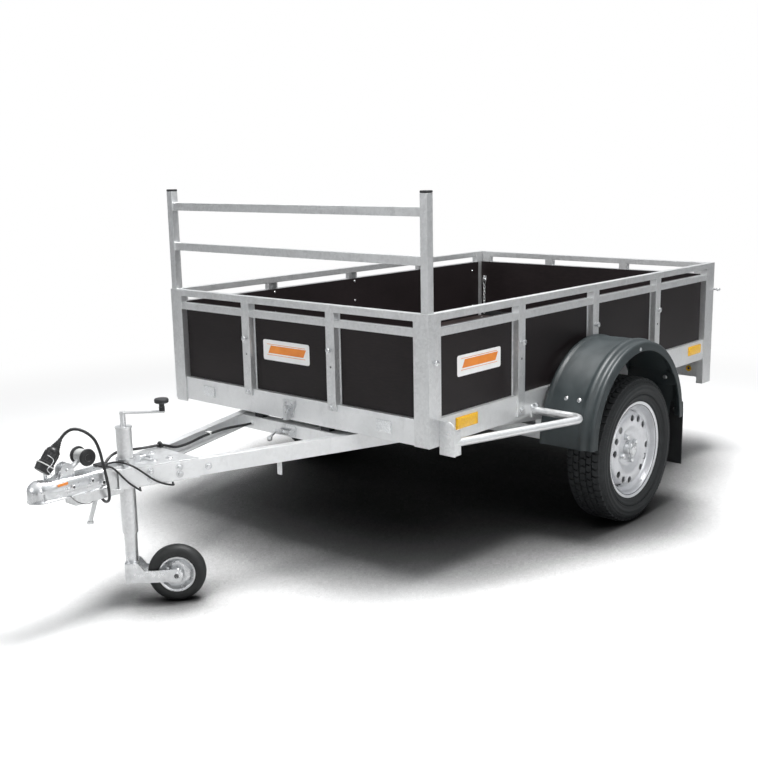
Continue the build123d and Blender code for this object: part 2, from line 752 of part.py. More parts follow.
# Rear lamps on the board that hangs from the sill
lamp_x = sill_half - LAMP_SET_IN
lamp_z = LAMP_BOARD_BOTTOM_Z + LAMP_LIFT
lamp = block(lamp_x - LAMP_W, lamp_x, board_y + LAMP_BOARD_T, board_y + LAMP_BOARD_T + LAMP_T,
             lamp_z, lamp_z + LAMP_H)
save("rear_lamps", *both_sides(lamp))


# Tailgate between the portal posts, hinged at its foot: uprights between a foot rail and a top rail
GATE_DEPTH = (GATE_REAR_Y - WALL_DEPTH, GATE_REAR_Y)
GATE_UPRIGHTS = [(-GATE_HALF, -GATE_HALF + GATE_STILE_W)]
GATE_UPRIGHTS += [(x - POST_CROWN / 2, x + POST_CROWN / 2) for x in GATE_POST_X]
GATE_UPRIGHTS += [(GATE_HALF - GATE_STILE_W, GATE_HALF)]


def gate_foot():
    foot = block(-GATE_HALF, GATE_HALF, *GATE_DEPTH, GATE_BOTTOM_Z, GATE_BOTTOM_Z + RAIL)
    for x in GATE_HINGE_X:
        near, far = x - KNUCKLE_L / 2, x + KNUCKLE_L / 2
        foot -= rod((x - KNUCKLE_L - 3, GATE_HINGE_Y, GATE_HINGE_Z),
                    (x + KNUCKLE_L + 3, GATE_HINGE_Y, GATE_HINGE_Z), KNUCKLE_R + 3)
        knuckle = rod((near, GATE_HINGE_Y, GATE_HINGE_Z), (far, GATE_HINGE_Y, GATE_HINGE_Z), KNUCKLE_R)
        leaf = block(near, far, GATE_HINGE_Y - 3, GATE_HINGE_Y + 3, GATE_HINGE_Z, GATE_BOTTOM_Z + RAIL)
        foot += knuckle + leaf
        foot -= rod((near, GATE_HINGE_Y, GATE_HINGE_Z), (far, GATE_HINGE_Y, GATE_HINGE_Z),
                    HINGE_PIN_R + RUNNING_GAP)
    return foot


gate_rails = [gate_foot(), block(-GATE_HALF, GATE_HALF, *GATE_DEPTH, RAIL_TOP_Z - RAIL, RAIL_TOP_Z)]
for (_, left_end), (right_end, _) in zip(GATE_UPRIGHTS, GATE_UPRIGHTS[1:]):
    gate_rails.append(block(left_end, right_end, *GATE_DEPTH, SECOND_BOTTOM_Z, SECOND_TOP_Z))
save("tailgate_rails", *gate_rails)
save("tailgate_uprights", *[
    block(*upright, *GATE_DEPTH, GATE_BOTTOM_Z + RAIL, RAIL_TOP_Z - RAIL) for upright in GATE_UPRIGHTS
])
save("tailgate_panel", block(-GATE_HALF, GATE_HALF, GATE_INNER_Y, GATE_INNER_Y + PANEL_T,
                             GATE_BOTTOM_Z, SECOND_TOP_Z))


def gate_latch():
    """A turning handle on a plate, whose tongue reaches over the portal post."""
    x = GATE_HALF - GATE_STILE_W / 2
    low, high = GATE_LATCH_Z - GATE_PLATE_HALF, GATE_LATCH_Z + GATE_PLATE_HALF
    handle_y = REAR_TIP_Y - GATE_HANDLE_R
    base = block(x - GATE_PLATE_HALF / 2, x + GATE_PLATE_HALF / 2, GATE_REAR_Y, GATE_REAR_Y + GATE_PLATE_T,
                 low, high)
    stem = rod((x, GATE_REAR_Y + GATE_PLATE_T, GATE_LATCH_Z), (x, handle_y, GATE_LATCH_Z), GATE_HANDLE_R - 2)
    handle = rod((x, handle_y, GATE_LATCH_Z - GATE_HANDLE_HALF),
                 (x, handle_y, GATE_LATCH_Z + GATE_HANDLE_HALF), GATE_HANDLE_R)
    tongue_y = BODY_L + GATE_TONGUE_GAP
    tongue = block(x, HALF_W - GATE_TONGUE_GAP, tongue_y, tongue_y + GATE_TONGUE_GAP,
                   GATE_LATCH_Z - GATE_TONGUE_HALF, GATE_LATCH_Z + GATE_TONGUE_HALF)
    return base + stem + handle + tongue


save("tailgate_latches", *both_sides(gate_latch()))


# Headboard rack on the front corners
def head_post():
    x = HALF_W - HEAD_SET_IN
    half = HEAD_POST / 2
    return block(x - half, x + half, HEAD_SET_IN - half, HEAD_SET_IN + half, RAIL_TOP_Z, HEAD_TOP_Z)


def head_cap():
    x = HALF_W - HEAD_SET_IN
    half = HEAD_POST / 2 + 1
    return block(x - half, x + half, HEAD_SET_IN - half, HEAD_SET_IN + half, HEAD_TOP_Z,
                 HEAD_TOP_Z + HEAD_CAP_T)


bar_half = HALF_W - HEAD_SET_IN - HEAD_POST / 2
head_bars = [
    block(-bar_half, bar_half, HEAD_SET_IN - HEAD_BAR_T / 2, HEAD_SET_IN + HEAD_BAR_T / 2,
          z - HEAD_BAR_H / 2, z + HEAD_BAR_H / 2)
    for z in HEAD_BAR_Z
]
save("headboard_posts", *both_sides(head_post()))
save("headboard_bars", *head_bars)
save("headboard_caps", *both_sides(head_cap()))


# Mudguards: an arch over each wheel between an outer skirt and a flange on the body
def guard_arch(depth, x0, x1):
    ring = Circle(GUARD_R) - Circle(GUARD_R - depth)
    ring &= Pos(0, GUARD_R / 2) * Rectangle(2 * GUARD_R, GUARD_R)
    return Pos(x0, GUARD_Y, GUARD_Z) * extrude(Plane.YZ * ring, x1 - x0)


crown = guard_arch(GUARD_T, HALF_W + GUARD_T, GUARD_OUT_X - GUARD_T)
skirt = guard_arch(GUARD_SKIRT, GUARD_OUT_X - GUARD_T, GUARD_OUT_X)
flange = guard_arch(GUARD_LIP, HALF_W, HALF_W + GUARD_T)
save("mudguards", *both_sides(crown))
save("mudguard_skirts", *both_sides(skirt), *both_sides(flange))
flap_y = GUARD_Y + GUARD_R - GUARD_T
flap = block(HALF_W + GUARD_T + 1, GUARD_OUT_X - GUARD_T, flap_y - FLAP_T, flap_y,
             FLAP_BOTTOM_Z, GUARD_Z + FLAP_LAP)
flap_room = rod((HALF_W, GUARD_Y, GUARD_Z), (GUARD_OUT_X, GUARD_Y, GUARD_Z), GUARD_R - GUARD_T)
flap_cut = block(HALF_W, GUARD_OUT_X, GUARD_Y, GUARD_Y + 2 * GUARD_R, GUARD_Z, GUARD_Z + FLAP_LAP)
flap = flap - (flap_cut - flap_room)
save("mudflaps", *both_sides(flap))


# Hoops in front of the mudguards, from a bracket on each front corner
def hoop():
    front = Vector(BRACKET_OUT_X - HOOP_R - 3, BRACKET_Y + BRACKET_T / 2, HOOP_Z)
    bend = Vector(HOOP_OUT_X, HOOP_REAR_Y, HOOP_Z)
    seat = Vector(HALF_W - BEAM_SET_BACK, HOOP_REAR_Y, HOOP_Z)
    path = FilletPolyline(front, bend, seat, radius=HOOP_BEND_R)
    section = Plane(origin=path @ 0, z_dir=path % 0) * Circle(HOOP_R)
    return sweep(section, path)


def hoop_bracket():
    low, high = BRACKET_Z
    width = BRACKET_OUT_X - HALF_W
    plate = block(HALF_W, BRACKET_OUT_X, BRACKET_Y, BRACKET_Y + BRACKET_T, low, high)
    edge = plate.edges().filter_by(Axis.Y).group_by(Axis.Z)[-1].sort_by(Axis.X)[-1]
    plate = fillet(edge, width * 0.45)
    hole_x = HALF_W + width * 0.55
    hole_z = (HOOP_Z + high) / 2 - BRACKET_HOLE_R
    plate -= rod((hole_x, BRACKET_Y, hole_z), (hole_x, BRACKET_Y + BRACKET_T, hole_z), BRACKET_HOLE_R)
    return plate


save("guard_hoops", *both_sides(hoop() + hoop_bracket()))

# Ears under the body that turn on the pivot pins
ear_profile = Polyline(
    (PIVOT_Y - EAR_HALF_L, BEAM_BOTTOM_Z),
    (PIVOT_Y - EAR_EYE_R, PIVOT_Z),
    (PIVOT_Y + EAR_EYE_R, PIVOT_Z),
    (PIVOT_Y + EAR_HALF_L, BEAM_BOTTOM_Z),
    close=True,
)
ear_outline = Pos(EAR_X, 0, 0) * extrude(Plane.YZ * make_face(ear_profile), EAR_T)
ear_outline += rod((EAR_X, PIVOT_Y, PIVOT_Z), (EAR_X + EAR_T, PIVOT_Y, PIVOT_Z), EAR_EYE_R)
ear_foot = block(EAR_X, HALF_W - BEAM_SET_BACK - SHEET, PIVOT_Y - EAR_HALF_L, PIVOT_Y + EAR_HALF_L,
                 BEAM_BOTTOM_Z - EAR_T, BEAM_BOTTOM_Z)
ear = ear_outline + ear_foot
ear -= rod((EAR_X - 1, PIVOT_Y, PIVOT_Z), (EAR_X + EAR_T + 1, PIVOT_Y, PIVOT_Z), PIVOT_PIN_R + RUNNING_GAP)
save("tipping_ears", *both_sides(ear))

# Reflectors and rope knobs
beam_face = HALF_W - BEAM_SET_BACK
amber = []
for y in REFLECTOR_Y:
    amber.extend(both_sides(block(beam_face, beam_face + REFLECTOR_T, y - REFLECTOR_L / 2, y + REFLECTOR_L / 2,
                                  REFLECTOR_Z - REFLECTOR_H / 2, REFLECTOR_Z + REFLECTOR_H / 2)))
save("side_reflectors", *amber)
white = block(WHITE_REFLECTOR_X - WHITE_REFLECTOR / 2, WHITE_REFLECTOR_X + WHITE_REFLECTOR / 2,
              BEAM_SET_BACK - REFLECTOR_T, BEAM_SET_BACK,
              REFLECTOR_Z - REFLECTOR_H / 2 - WHITE_REFLECTOR_DROP,
              REFLECTOR_Z + REFLECTOR_H / 2 - WHITE_REFLECTOR_DROP)
save("front_reflectors", *both_sides(white))


def knob():
    """A rope knob at the origin that stands out along -y."""
    head = rod((0, KNOB_HEAD_T - KNOB_L, 0), (0, -KNOB_L, 0), KNOB_R)
    return head + rod((0, 0, 0), (0, KNOB_HEAD_T - KNOB_L, 0), KNOB_STEM_R)


knobs = [Pos(x, 0, KNOB_Z) * knob() for x in FRONT_POST_X]
for y in (CORNER_LEG / 2,) + SIDE_POST_Y:
    knobs.extend(both_sides(Pos(HALF_W, y, KNOB_Z) * Rot(0, 0, 90) * knob()))
save("rope_knobs", *knobs)

# Tipping latch: a catch on the cross beam and a hook on the body's front beam
catch_y = CROSS_BEAM_Y - LATCH_PIN_OUT
cheek_in, cheek_out = LATCH_CHEEK_X
foot_half = cheek_out + LATCH_FOOT_T
latch_base = block(-foot_half, foot_half, CROSS_BEAM_Y - LATCH_FOOT_T, CROSS_BEAM_Y,
                   ARM_Z + LATCH_FOOT_EDGE, ARM_Z + ARM_H - LATCH_FOOT_EDGE)
latch_base += rod((-LATCH_LEVER_X, catch_y, LATCH_PIN_Z), (cheek_out, catch_y, LATCH_PIN_Z), LATCH_PIN_R)
for side in (-1, 1):
    latch_base += block(side * cheek_in, side * cheek_out, catch_y, CROSS_BEAM_Y,
                        LATCH_PIN_Z - LATCH_CHEEK_R, LATCH_PIN_Z + LATCH_CHEEK_R)
    latch_base += rod((side * cheek_in, catch_y, LATCH_PIN_Z), (side * cheek_out, catch_y, LATCH_PIN_Z),
                      LATCH_CHEEK_R)
lever_end = (-LATCH_LEVER_X, catch_y, LATCH_PIN_Z)
lever_tip = (LATCH_BALL[0], catch_y, LATCH_BALL[1])
latch_base += rod(lever_end, lever_tip, LATCH_PIN_R - 1) + Pos(*lever_end) * Sphere(LATCH_PIN_R)
latch_base += Pos(*lever_tip) * Sphere(LATCH_BALL_R)
save("tipping_latch_base", latch_base)
plate_top, plate_foot = BEAM_TOP_Z - LATCH_PLATE_EDGE, BEAM_BOTTOM_Z + LATCH_PLATE_EDGE
plate_outline = Polyline(
    (-LATCH_PLATE_HALF, plate_top),
    (LATCH_PLATE_HALF, plate_top),
    (LATCH_PLATE_HALF, plate_top - LATCH_PLATE_EDGE),
    (2 * LATCH_BAR_HALF, plate_foot),
    (-2 * LATCH_BAR_HALF, plate_foot),
    (-LATCH_PLATE_HALF, plate_top - LATCH_PLATE_EDGE),
    close=True,
)
latch_hook = Pos(0, BEAM_SET_BACK, 0) * extrude(Plane.XZ * make_face(plate_outline), BEAM_SET_BACK)
latch_hook += block(-LATCH_BAR_HALF, LATCH_BAR_HALF, catch_y - LATCH_BAR_DEPTH, 0,
                    BEAM_BOTTOM_Z + LATCH_BAR_DEPTH, plate_top - LATCH_PLATE_EDGE - LATCH_BAR_DEPTH)
save("tipping_latch_hook", latch_hook)
buffer_top = BEAM_BOTTOM_Z - SEAT_GAP
buffer = block(BUFFER_X - BUFFER_HALF, BUFFER_X + BUFFER_HALF, CROSS_BEAM_Y + BUFFER_IN,
               CROSS_BEAM_Y + CROSS_BEAM_DEPTH - BUFFER_IN, ARM_Z + ARM_H - ARM_T, buffer_top)
save("body_buffers", *both_sides(buffer))


# Coupling head: a pressed hood over the neck, with the ball's socket in its nose
def coupling_head():
    height = COUPLING_TOP_Z - HEAD_SKIRT_Z
    nose_w = 2 * DOME_R - 4
    front = Plane(origin=(0, BALL_Y, HEAD_SKIRT_Z), x_dir=(1, 0, 0), z_dir=(0, 1, 0))
    rear = Plane(origin=(0, HEAD_REAR_Y, HEAD_SKIRT_Z), x_dir=(1, 0, 0), z_dir=(0, 1, 0))
    up = -1
    hood = loft([
        front * Pos(0, up * height / 2) * Rectangle(nose_w, height),
        rear * Pos(0, up * height / 2) * Rectangle(HEAD_W, height),
    ])
    room_h = height - HEAD_T
    room = loft([
        front * Pos(0, up * room_h / 2) * Rectangle(nose_w - 2 * HEAD_T, room_h),
        rear * Pos(0, up * room_h / 2) * Rectangle(HEAD_W - 2 * HEAD_T, room_h),
    ])
    flange = loft([
        front * Pos(0, up * HEAD_T / 2) * Rectangle(2 * DOME_R, HEAD_T),
        rear * Pos(0, up * HEAD_T / 2) * Rectangle(HEAD_W + 2 * HEAD_FLANGE, HEAD_T),
    ])
    flute_z = HEAD_SKIRT_Z + height / 2
    flutes = both_sides(rod((nose_w / 2 - HEAD_FLUTE / 2, BALL_Y + DOME_R / 2, flute_z),
                            (HEAD_W / 2 - HEAD_FLUTE / 2, HEAD_REAR_Y - DOME_R, flute_z), HEAD_FLUTE))
    nose_rim = rod((0, BALL_Y, HEAD_SKIRT_Z), (0, BALL_Y, HEAD_SKIRT_Z + HEAD_T), DOME_R)
    dome = Pos(0, BALL_Y, BALL_Z) * Sphere(DOME_R)
    dome -= block(-HEAD_W, HEAD_W, BALL_Y - HEAD_W, BALL_Y + HEAD_W, BALL_Z - 2 * DOME_R, HEAD_SKIRT_Z)
    head = hood + flange + nose_rim
    for flute in flutes:
        head += flute
    head = head - room + dome
    head -= Pos(0, BALL_Y, BALL_Z) * Sphere(BALL_R)
    head -= rod((0, BALL_Y, HEAD_SKIRT_Z - 10), (0, BALL_Y, BALL_Z), BALL_R)
    return head


save("coupling_head", coupling_head())

# Short prop under the neck, leaning forwards to a round foot
prop_foot = (0, *PROP_FOOT)
prop_seat = NECK_BOTTOM_Z - PROP_PLATE_T
prop = rod((0, PROP_TOP_Y, prop_seat), prop_foot, PROP_R)
prop -= block(-PROP_R, PROP_R, PROP_TOP_Y - 2 * PROP_R, PROP_TOP_Y + 2 * PROP_R, prop_seat, ARM_Z)
prop += rod((0, PROP_TOP_Y, prop_seat), (0, PROP_TOP_Y, NECK_BOTTOM_Z), 2 * PROP_R)
prop += rod(prop_foot, (0, prop_foot[1], prop_foot[2] - PROP_FOOT_T), PROP_FOOT_R)
save("neck_prop", prop)

# Coupling handle: a lever off the head's top with a cross grip
lever_foot_y = BALL_Y + LEVER_BACK
lever = rod((0, lever_foot_y, COUPLING_TOP_Z), (0, GRIP_Y, GRIP_Z), LEVER_R)
lever -= block(-2 * LEVER_R, 2 * LEVER_R, BALL_Y, GRIP_Y, HEAD_SKIRT_Z, COUPLING_TOP_Z)
lever += block(-2 * LEVER_R, 2 * LEVER_R, lever_foot_y - 2 * LEVER_R, lever_foot_y + 2 * LEVER_R,
               COUPLING_TOP_Z, COUPLING_TOP_Z + LEVER_R)
save("coupling_handle", lever)
grip = rod((-GRIP_HALF, GRIP_Y, GRIP_Z), (GRIP_HALF, GRIP_Y, GRIP_Z), GRIP_R)
for x in (-GRIP_HALF, GRIP_HALF - GRIP_FLANGE):
    grip += rod((x, GRIP_Y, GRIP_Z), (x + GRIP_FLANGE, GRIP_Y, GRIP_Z), GRIP_R + GRIP_FLANGE / 2)
grip -= lever
save("coupling_grip", grip)

# Plug in its parking holder on the head
plug_dir = Vector(0, cos(radians(PLUG_LEAN)), sin(radians(PLUG_LEAN)))
plug_foot = Vector(PLUG_X, PLUG_FOOT_Y, PLUG_FOOT_Z)
plug_neck = plug_foot + plug_dir * PLUG_BARREL_L
plug_end = plug_foot + plug_dir * PLUG_L
plug = rod(plug_foot, plug_neck, PLUG_R)
plug += rod(plug_neck, plug_end, PLUG_NECK_R)
save("plug", plug)
holder_y = PLUG_FOOT_Y - HOLDER_BACK
holder = rod(plug_foot - plug_dir * HOLDER_L, plug_foot, PLUG_R + HOLDER_WALL)
holder += rod((PLUG_X, holder_y, COUPLING_TOP_Z), (PLUG_X, holder_y, PLUG_FOOT_Z - HOLDER_L / 2), HOLDER_STEM_R)
save("plug_holder", holder)

# Jockey wheel: an outer tube held in the nose, an inner tube that slides in it on a screw,
# a fork that swivels under the inner tube and a solid-tyred wheel
outer_tube = rod((0, JOCKEY_Y, JOCKEY_OUT_BOTTOM_Z), (0, JOCKEY_Y, JOCKEY_TOP_Z), JOCKEY_OUT_R,
                 JOCKEY_IN_R + JOCKEY_RUN_GAP)
outer_tube += rod((0, JOCKEY_Y, JOCKEY_TOP_Z), (0, JOCKEY_Y, JOCKEY_TOP_Z + JOCKEY_LID_T), JOCKEY_OUT_R + 2)
save("jockey_outer_tube", outer_tube)

crank_dir = Vector(cos(radians(CRANK_ANGLE)), sin(radians(CRANK_ANGLE)), 0)
crank_hub = Vector(0, JOCKEY_Y, CRANK_Z)
crank_end = crank_hub + crank_dir * CRANK_R
crank = rod((0, JOCKEY_Y, JOCKEY_TOP_Z + JOCKEY_LID_T), (0, JOCKEY_Y, CRANK_Z + CRANK_T), CRANK_STEM_R)
crank_arm = Pos(*(crank_hub + crank_dir * (CRANK_R / 2))) * Rot(0, 0, CRANK_ANGLE)
crank += crank_arm * Box(CRANK_R + 2 * CRANK_STEM_R, 2 * CRANK_STEM_R, CRANK_T)
knob_base = crank_end + Vector(0, 0, CRANK_KNOB_STEM_L)
crank += rod(crank_end, knob_base, CRANK_STEM_R - 1)
save("jockey_crank", crank)
knob_waist = knob_base + Vector(0, 0, CRANK_KNOB_H / 2)
knob_piece = rod(knob_base, knob_waist, CRANK_STEM_R)
knob_piece += rod(knob_waist, knob_base + Vector(0, 0, CRANK_KNOB_H), CRANK_KNOB_R)
save("jockey_knob", knob_piece)

clamp_foot = ARM_Z + ARM_H + NOSE_PLATE_T
clamp_z = clamp_foot + CLAMP_H / 2
lug_y = JOCKEY_Y + JOCKEY_OUT_R + CLAMP_WALL / 3
lug_end = lug_y + CLAMP_LUG_L
screw_y = lug_y + CLAMP_SCREW_L
clamp = rod((0, JOCKEY_Y, clamp_foot), (0, JOCKEY_Y, clamp_foot + CLAMP_H), JOCKEY_OUT_R + CLAMP_WALL,
            JOCKEY_OUT_R)
clamp += block(-CLAMP_LUG_HALF, CLAMP_LUG_HALF, lug_y, lug_end, clamp_foot, clamp_foot + CLAMP_H)
clamp += rod((0, lug_end, clamp_z), (0, screw_y, clamp_z), CLAMP_SCREW_R)
clamp += rod((-CLAMP_BAR_HALF, screw_y, clamp_z), (CLAMP_BAR_HALF, screw_y, clamp_z), CLAMP_SCREW_R)
save("jockey_clamp", clamp)

inner_tube = rod((0, JOCKEY_Y, JOCKEY_IN_BOTTOM_Z), (0, JOCKEY_Y, JOCKEY_IN_TOP_Z), JOCKEY_IN_R,
                 JOCKEY_IN_R - JOCKEY_TUBE_T)
inner_tube += rod((0, JOCKEY_Y, JOCKEY_IN_BOTTOM_Z), (0, JOCKEY_Y, JOCKEY_IN_BOTTOM_Z + JOCKEY_END_T),
                  JOCKEY_IN_R)
save("jockey_inner_tube", inner_tube)

trail_dir = Vector(cos(radians(JOCKEY_ANGLE)), sin(radians(JOCKEY_ANGLE)), 0)
jockey_axle = Vector(0, JOCKEY_Y, JOCKEY_TYRE_R) + trail_dir * JOCKEY_TRAIL


def in_jockey(shape):
    """Turn a piece made about the x axis line to the jockey wheel's place, its axle line."""
    return Pos(*jockey_axle) * Rot(0, 0, JOCKEY_ANGLE - 90) * shape


def jockey_fork():
    swivel_z = JOCKEY_IN_BOTTOM_Z - SEAT_GAP
    crown_z = swivel_z - JOCKEY_CROWN_H
    crown = rod((0, JOCKEY_Y, crown_z), (0, JOCKEY_Y, swivel_z), JOCKEY_IN_R)
    near = JOCKEY_TYRE_W / 2 + FORK_GAP
    far = near + FORK_T
    top = crown_z - JOCKEY_TYRE_R
    root = JOCKEY_TRAIL + JOCKEY_IN_R
    bridge = block(-far, far, -root, -JOCKEY_TRAIL + JOCKEY_IN_R, top - 2 * FORK_T, top)
    pin = rod((-far - FORK_T, 0, 0), (far + FORK_T, 0, 0), JOCKEY_PIN_R)
    outline = make_face(Polyline(
        (-root, top),
        (-JOCKEY_TRAIL + JOCKEY_IN_R, top),
        (-JOCKEY_TRAIL + 2 * JOCKEY_IN_R, FORK_EYE_R),
        (0, FORK_EYE_R),
        (0, -FORK_EYE_R),
        (-root, -FORK_ROOT_R),
        close=True,
    ))
    fork = bridge + pin
    for x in (-far, near):
        fork += Pos(x, 0, 0) * extrude(Plane.YZ * outline, FORK_T)
        fork += rod((x, 0, 0), (x + FORK_T, 0, 0), FORK_EYE_R)
    return crown + in_jockey(fork)


def jockey_turned(points):
    face = make_face(Polyline(*points, close=True))
    return in_jockey(revolve(face, Axis.X, 360))


save("jockey_fork", jockey_fork())
jockey_half = JOCKEY_TYRE_W / 2
save("jockey_tyre", jockey_turned([
    (-jockey_half + JOCKEY_BEAD, JOCKEY_RIM_R),
    (-jockey_half, JOCKEY_RIM_R + JOCKEY_SIDEWALL),
    (-jockey_half + JOCKEY_SHOULDER, JOCKEY_TYRE_R),
    (jockey_half - JOCKEY_SHOULDER, JOCKEY_TYRE_R),
    (jockey_half, JOCKEY_RIM_R + JOCKEY_SIDEWALL),
    (jockey_half - JOCKEY_BEAD, JOCKEY_RIM_R),
]))
save("jockey_rim", jockey_turned([
    (-jockey_half, JOCKEY_PIN_R + RUNNING_GAP),
    (-jockey_half, JOCKEY_BOSS_R),
    (-JOCKEY_WEB, JOCKEY_BOSS_R + JOCKEY_BEAD),
    (-JOCKEY_WEB, JOCKEY_RIM_R - JOCKEY_SHOULDER),
    (-jockey_half + JOCKEY_BEAD, JOCKEY_RIM_R - JOCKEY_BEAD),
    (-jockey_half + JOCKEY_BEAD, JOCKEY_RIM_R),
    (jockey_half - JOCKEY_BEAD, JOCKEY_RIM_R),
    (jockey_half - JOCKEY_BEAD, JOCKEY_RIM_R - JOCKEY_BEAD),
    (JOCKEY_WEB, JOCKEY_RIM_R - JOCKEY_SHOULDER),
    (JOCKEY_WEB, JOCKEY_BOSS_R + JOCKEY_BEAD),
    (jockey_half, JOCKEY_BOSS_R),
    (jockey_half, JOCKEY_PIN_R + RUNNING_GAP),
]))


# Cords: straight runs between the chosen points, joined by arcs as large as the runs allow
def cord_path(points):
    places = [Vector(*p) for p in points]
    radii = []
    for before, at, after in zip(places, places[1:], places[2:]):
        turn = (at - before).get_angle(after - at)
        shorter = min((at - before).length, (after - at).length)
        radii.append(0.45 * shorter / tan(radians(turn / 2)))
    print("cord radii", [round(r, 1) for r in radii])
    return FilletPolyline(*places, radius=radii)


def cord(name, points, radius):
    path = cord_path(points)
    tube = sweep(Plane(origin=path @ 0, z_dir=path % 0) * Circle(radius), path)
    ratio = tube.volume / (pi * radius ** 2 * path.length)
    print(name, "length", round(path.length, 1), "volume ratio", round(ratio, 4))
    save(name, tube)


tie_x, tie_y, tie_h = CABLE_TIE
save("cable_tie", block(*tie_x, *tie_y, neck_top, neck_top + tie_h))
cord("main_cable", MAIN_CABLE, CABLE_R)
cord("left_cable_upper", LEFT_CABLE_UPPER, THIN_R)
cord("left_cable_lower", LEFT_CABLE_LOWER, THIN_R)
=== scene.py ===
"""Looks of the tipping box trailer: finishes, cords and fine pieces around the fixed frame."""
import json
import math

import bmesh
import bpy
from mathutils import Matrix, Vector


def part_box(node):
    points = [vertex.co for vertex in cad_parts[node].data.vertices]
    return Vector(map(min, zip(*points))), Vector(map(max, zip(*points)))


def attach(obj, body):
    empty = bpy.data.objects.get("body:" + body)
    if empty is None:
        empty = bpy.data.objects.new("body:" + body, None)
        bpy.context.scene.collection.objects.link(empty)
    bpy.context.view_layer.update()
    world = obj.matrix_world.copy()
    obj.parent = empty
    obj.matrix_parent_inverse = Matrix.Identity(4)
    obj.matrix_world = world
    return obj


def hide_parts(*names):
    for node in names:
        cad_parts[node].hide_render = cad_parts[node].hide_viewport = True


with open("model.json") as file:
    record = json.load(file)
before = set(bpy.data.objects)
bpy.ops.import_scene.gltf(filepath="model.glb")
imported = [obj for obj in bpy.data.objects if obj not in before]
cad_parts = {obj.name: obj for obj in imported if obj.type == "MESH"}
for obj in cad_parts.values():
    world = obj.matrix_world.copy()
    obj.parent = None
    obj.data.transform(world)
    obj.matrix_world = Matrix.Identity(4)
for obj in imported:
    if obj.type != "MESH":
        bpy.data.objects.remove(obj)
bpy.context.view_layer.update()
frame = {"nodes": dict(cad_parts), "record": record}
nodes = frame["nodes"]

MM = 0.001
UP, FORWARD, BACKWARD, LEFT = (0, 0, 1), (0, -1, 0), (0, 1, 0), (1, 0, 0)
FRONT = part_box("front_corner_posts")[0].y
HALF_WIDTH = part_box("front_corner_posts")[1].x


def at(x, y, z):
    """A place in metres, from millimetres off the middle line, the body's front face and the floor."""
    return Vector((x * MM, FRONT + y * MM, z * MM))


# Finishes, made of nodes
class NodeTree:
    """Short names for adding the nodes of a tree and joining them."""

    def __init__(self, tree):
        self.tree = tree

    def node(self, kind, **settings):
        made = self.tree.nodes.new(kind)
        for key, value in settings.items():
            setattr(made, key, value)
        return made

    def link(self, source, target):
        self.tree.links.new(source, target)

    def light_path(self, kind):
        """Whether a ray is of one kind, such as Camera or Glossy."""
        return self.node("ShaderNodeLightPath").outputs[f"Is {kind} Ray"]

    def shader_mix(self, factor, first, second):
        """The second shader over the first, as far as the factor says."""
        made = self.node("ShaderNodeMixShader")
        for source, target in zip((factor, first, second), made.inputs):
            self.link(source, target)
        return made.outputs[0]


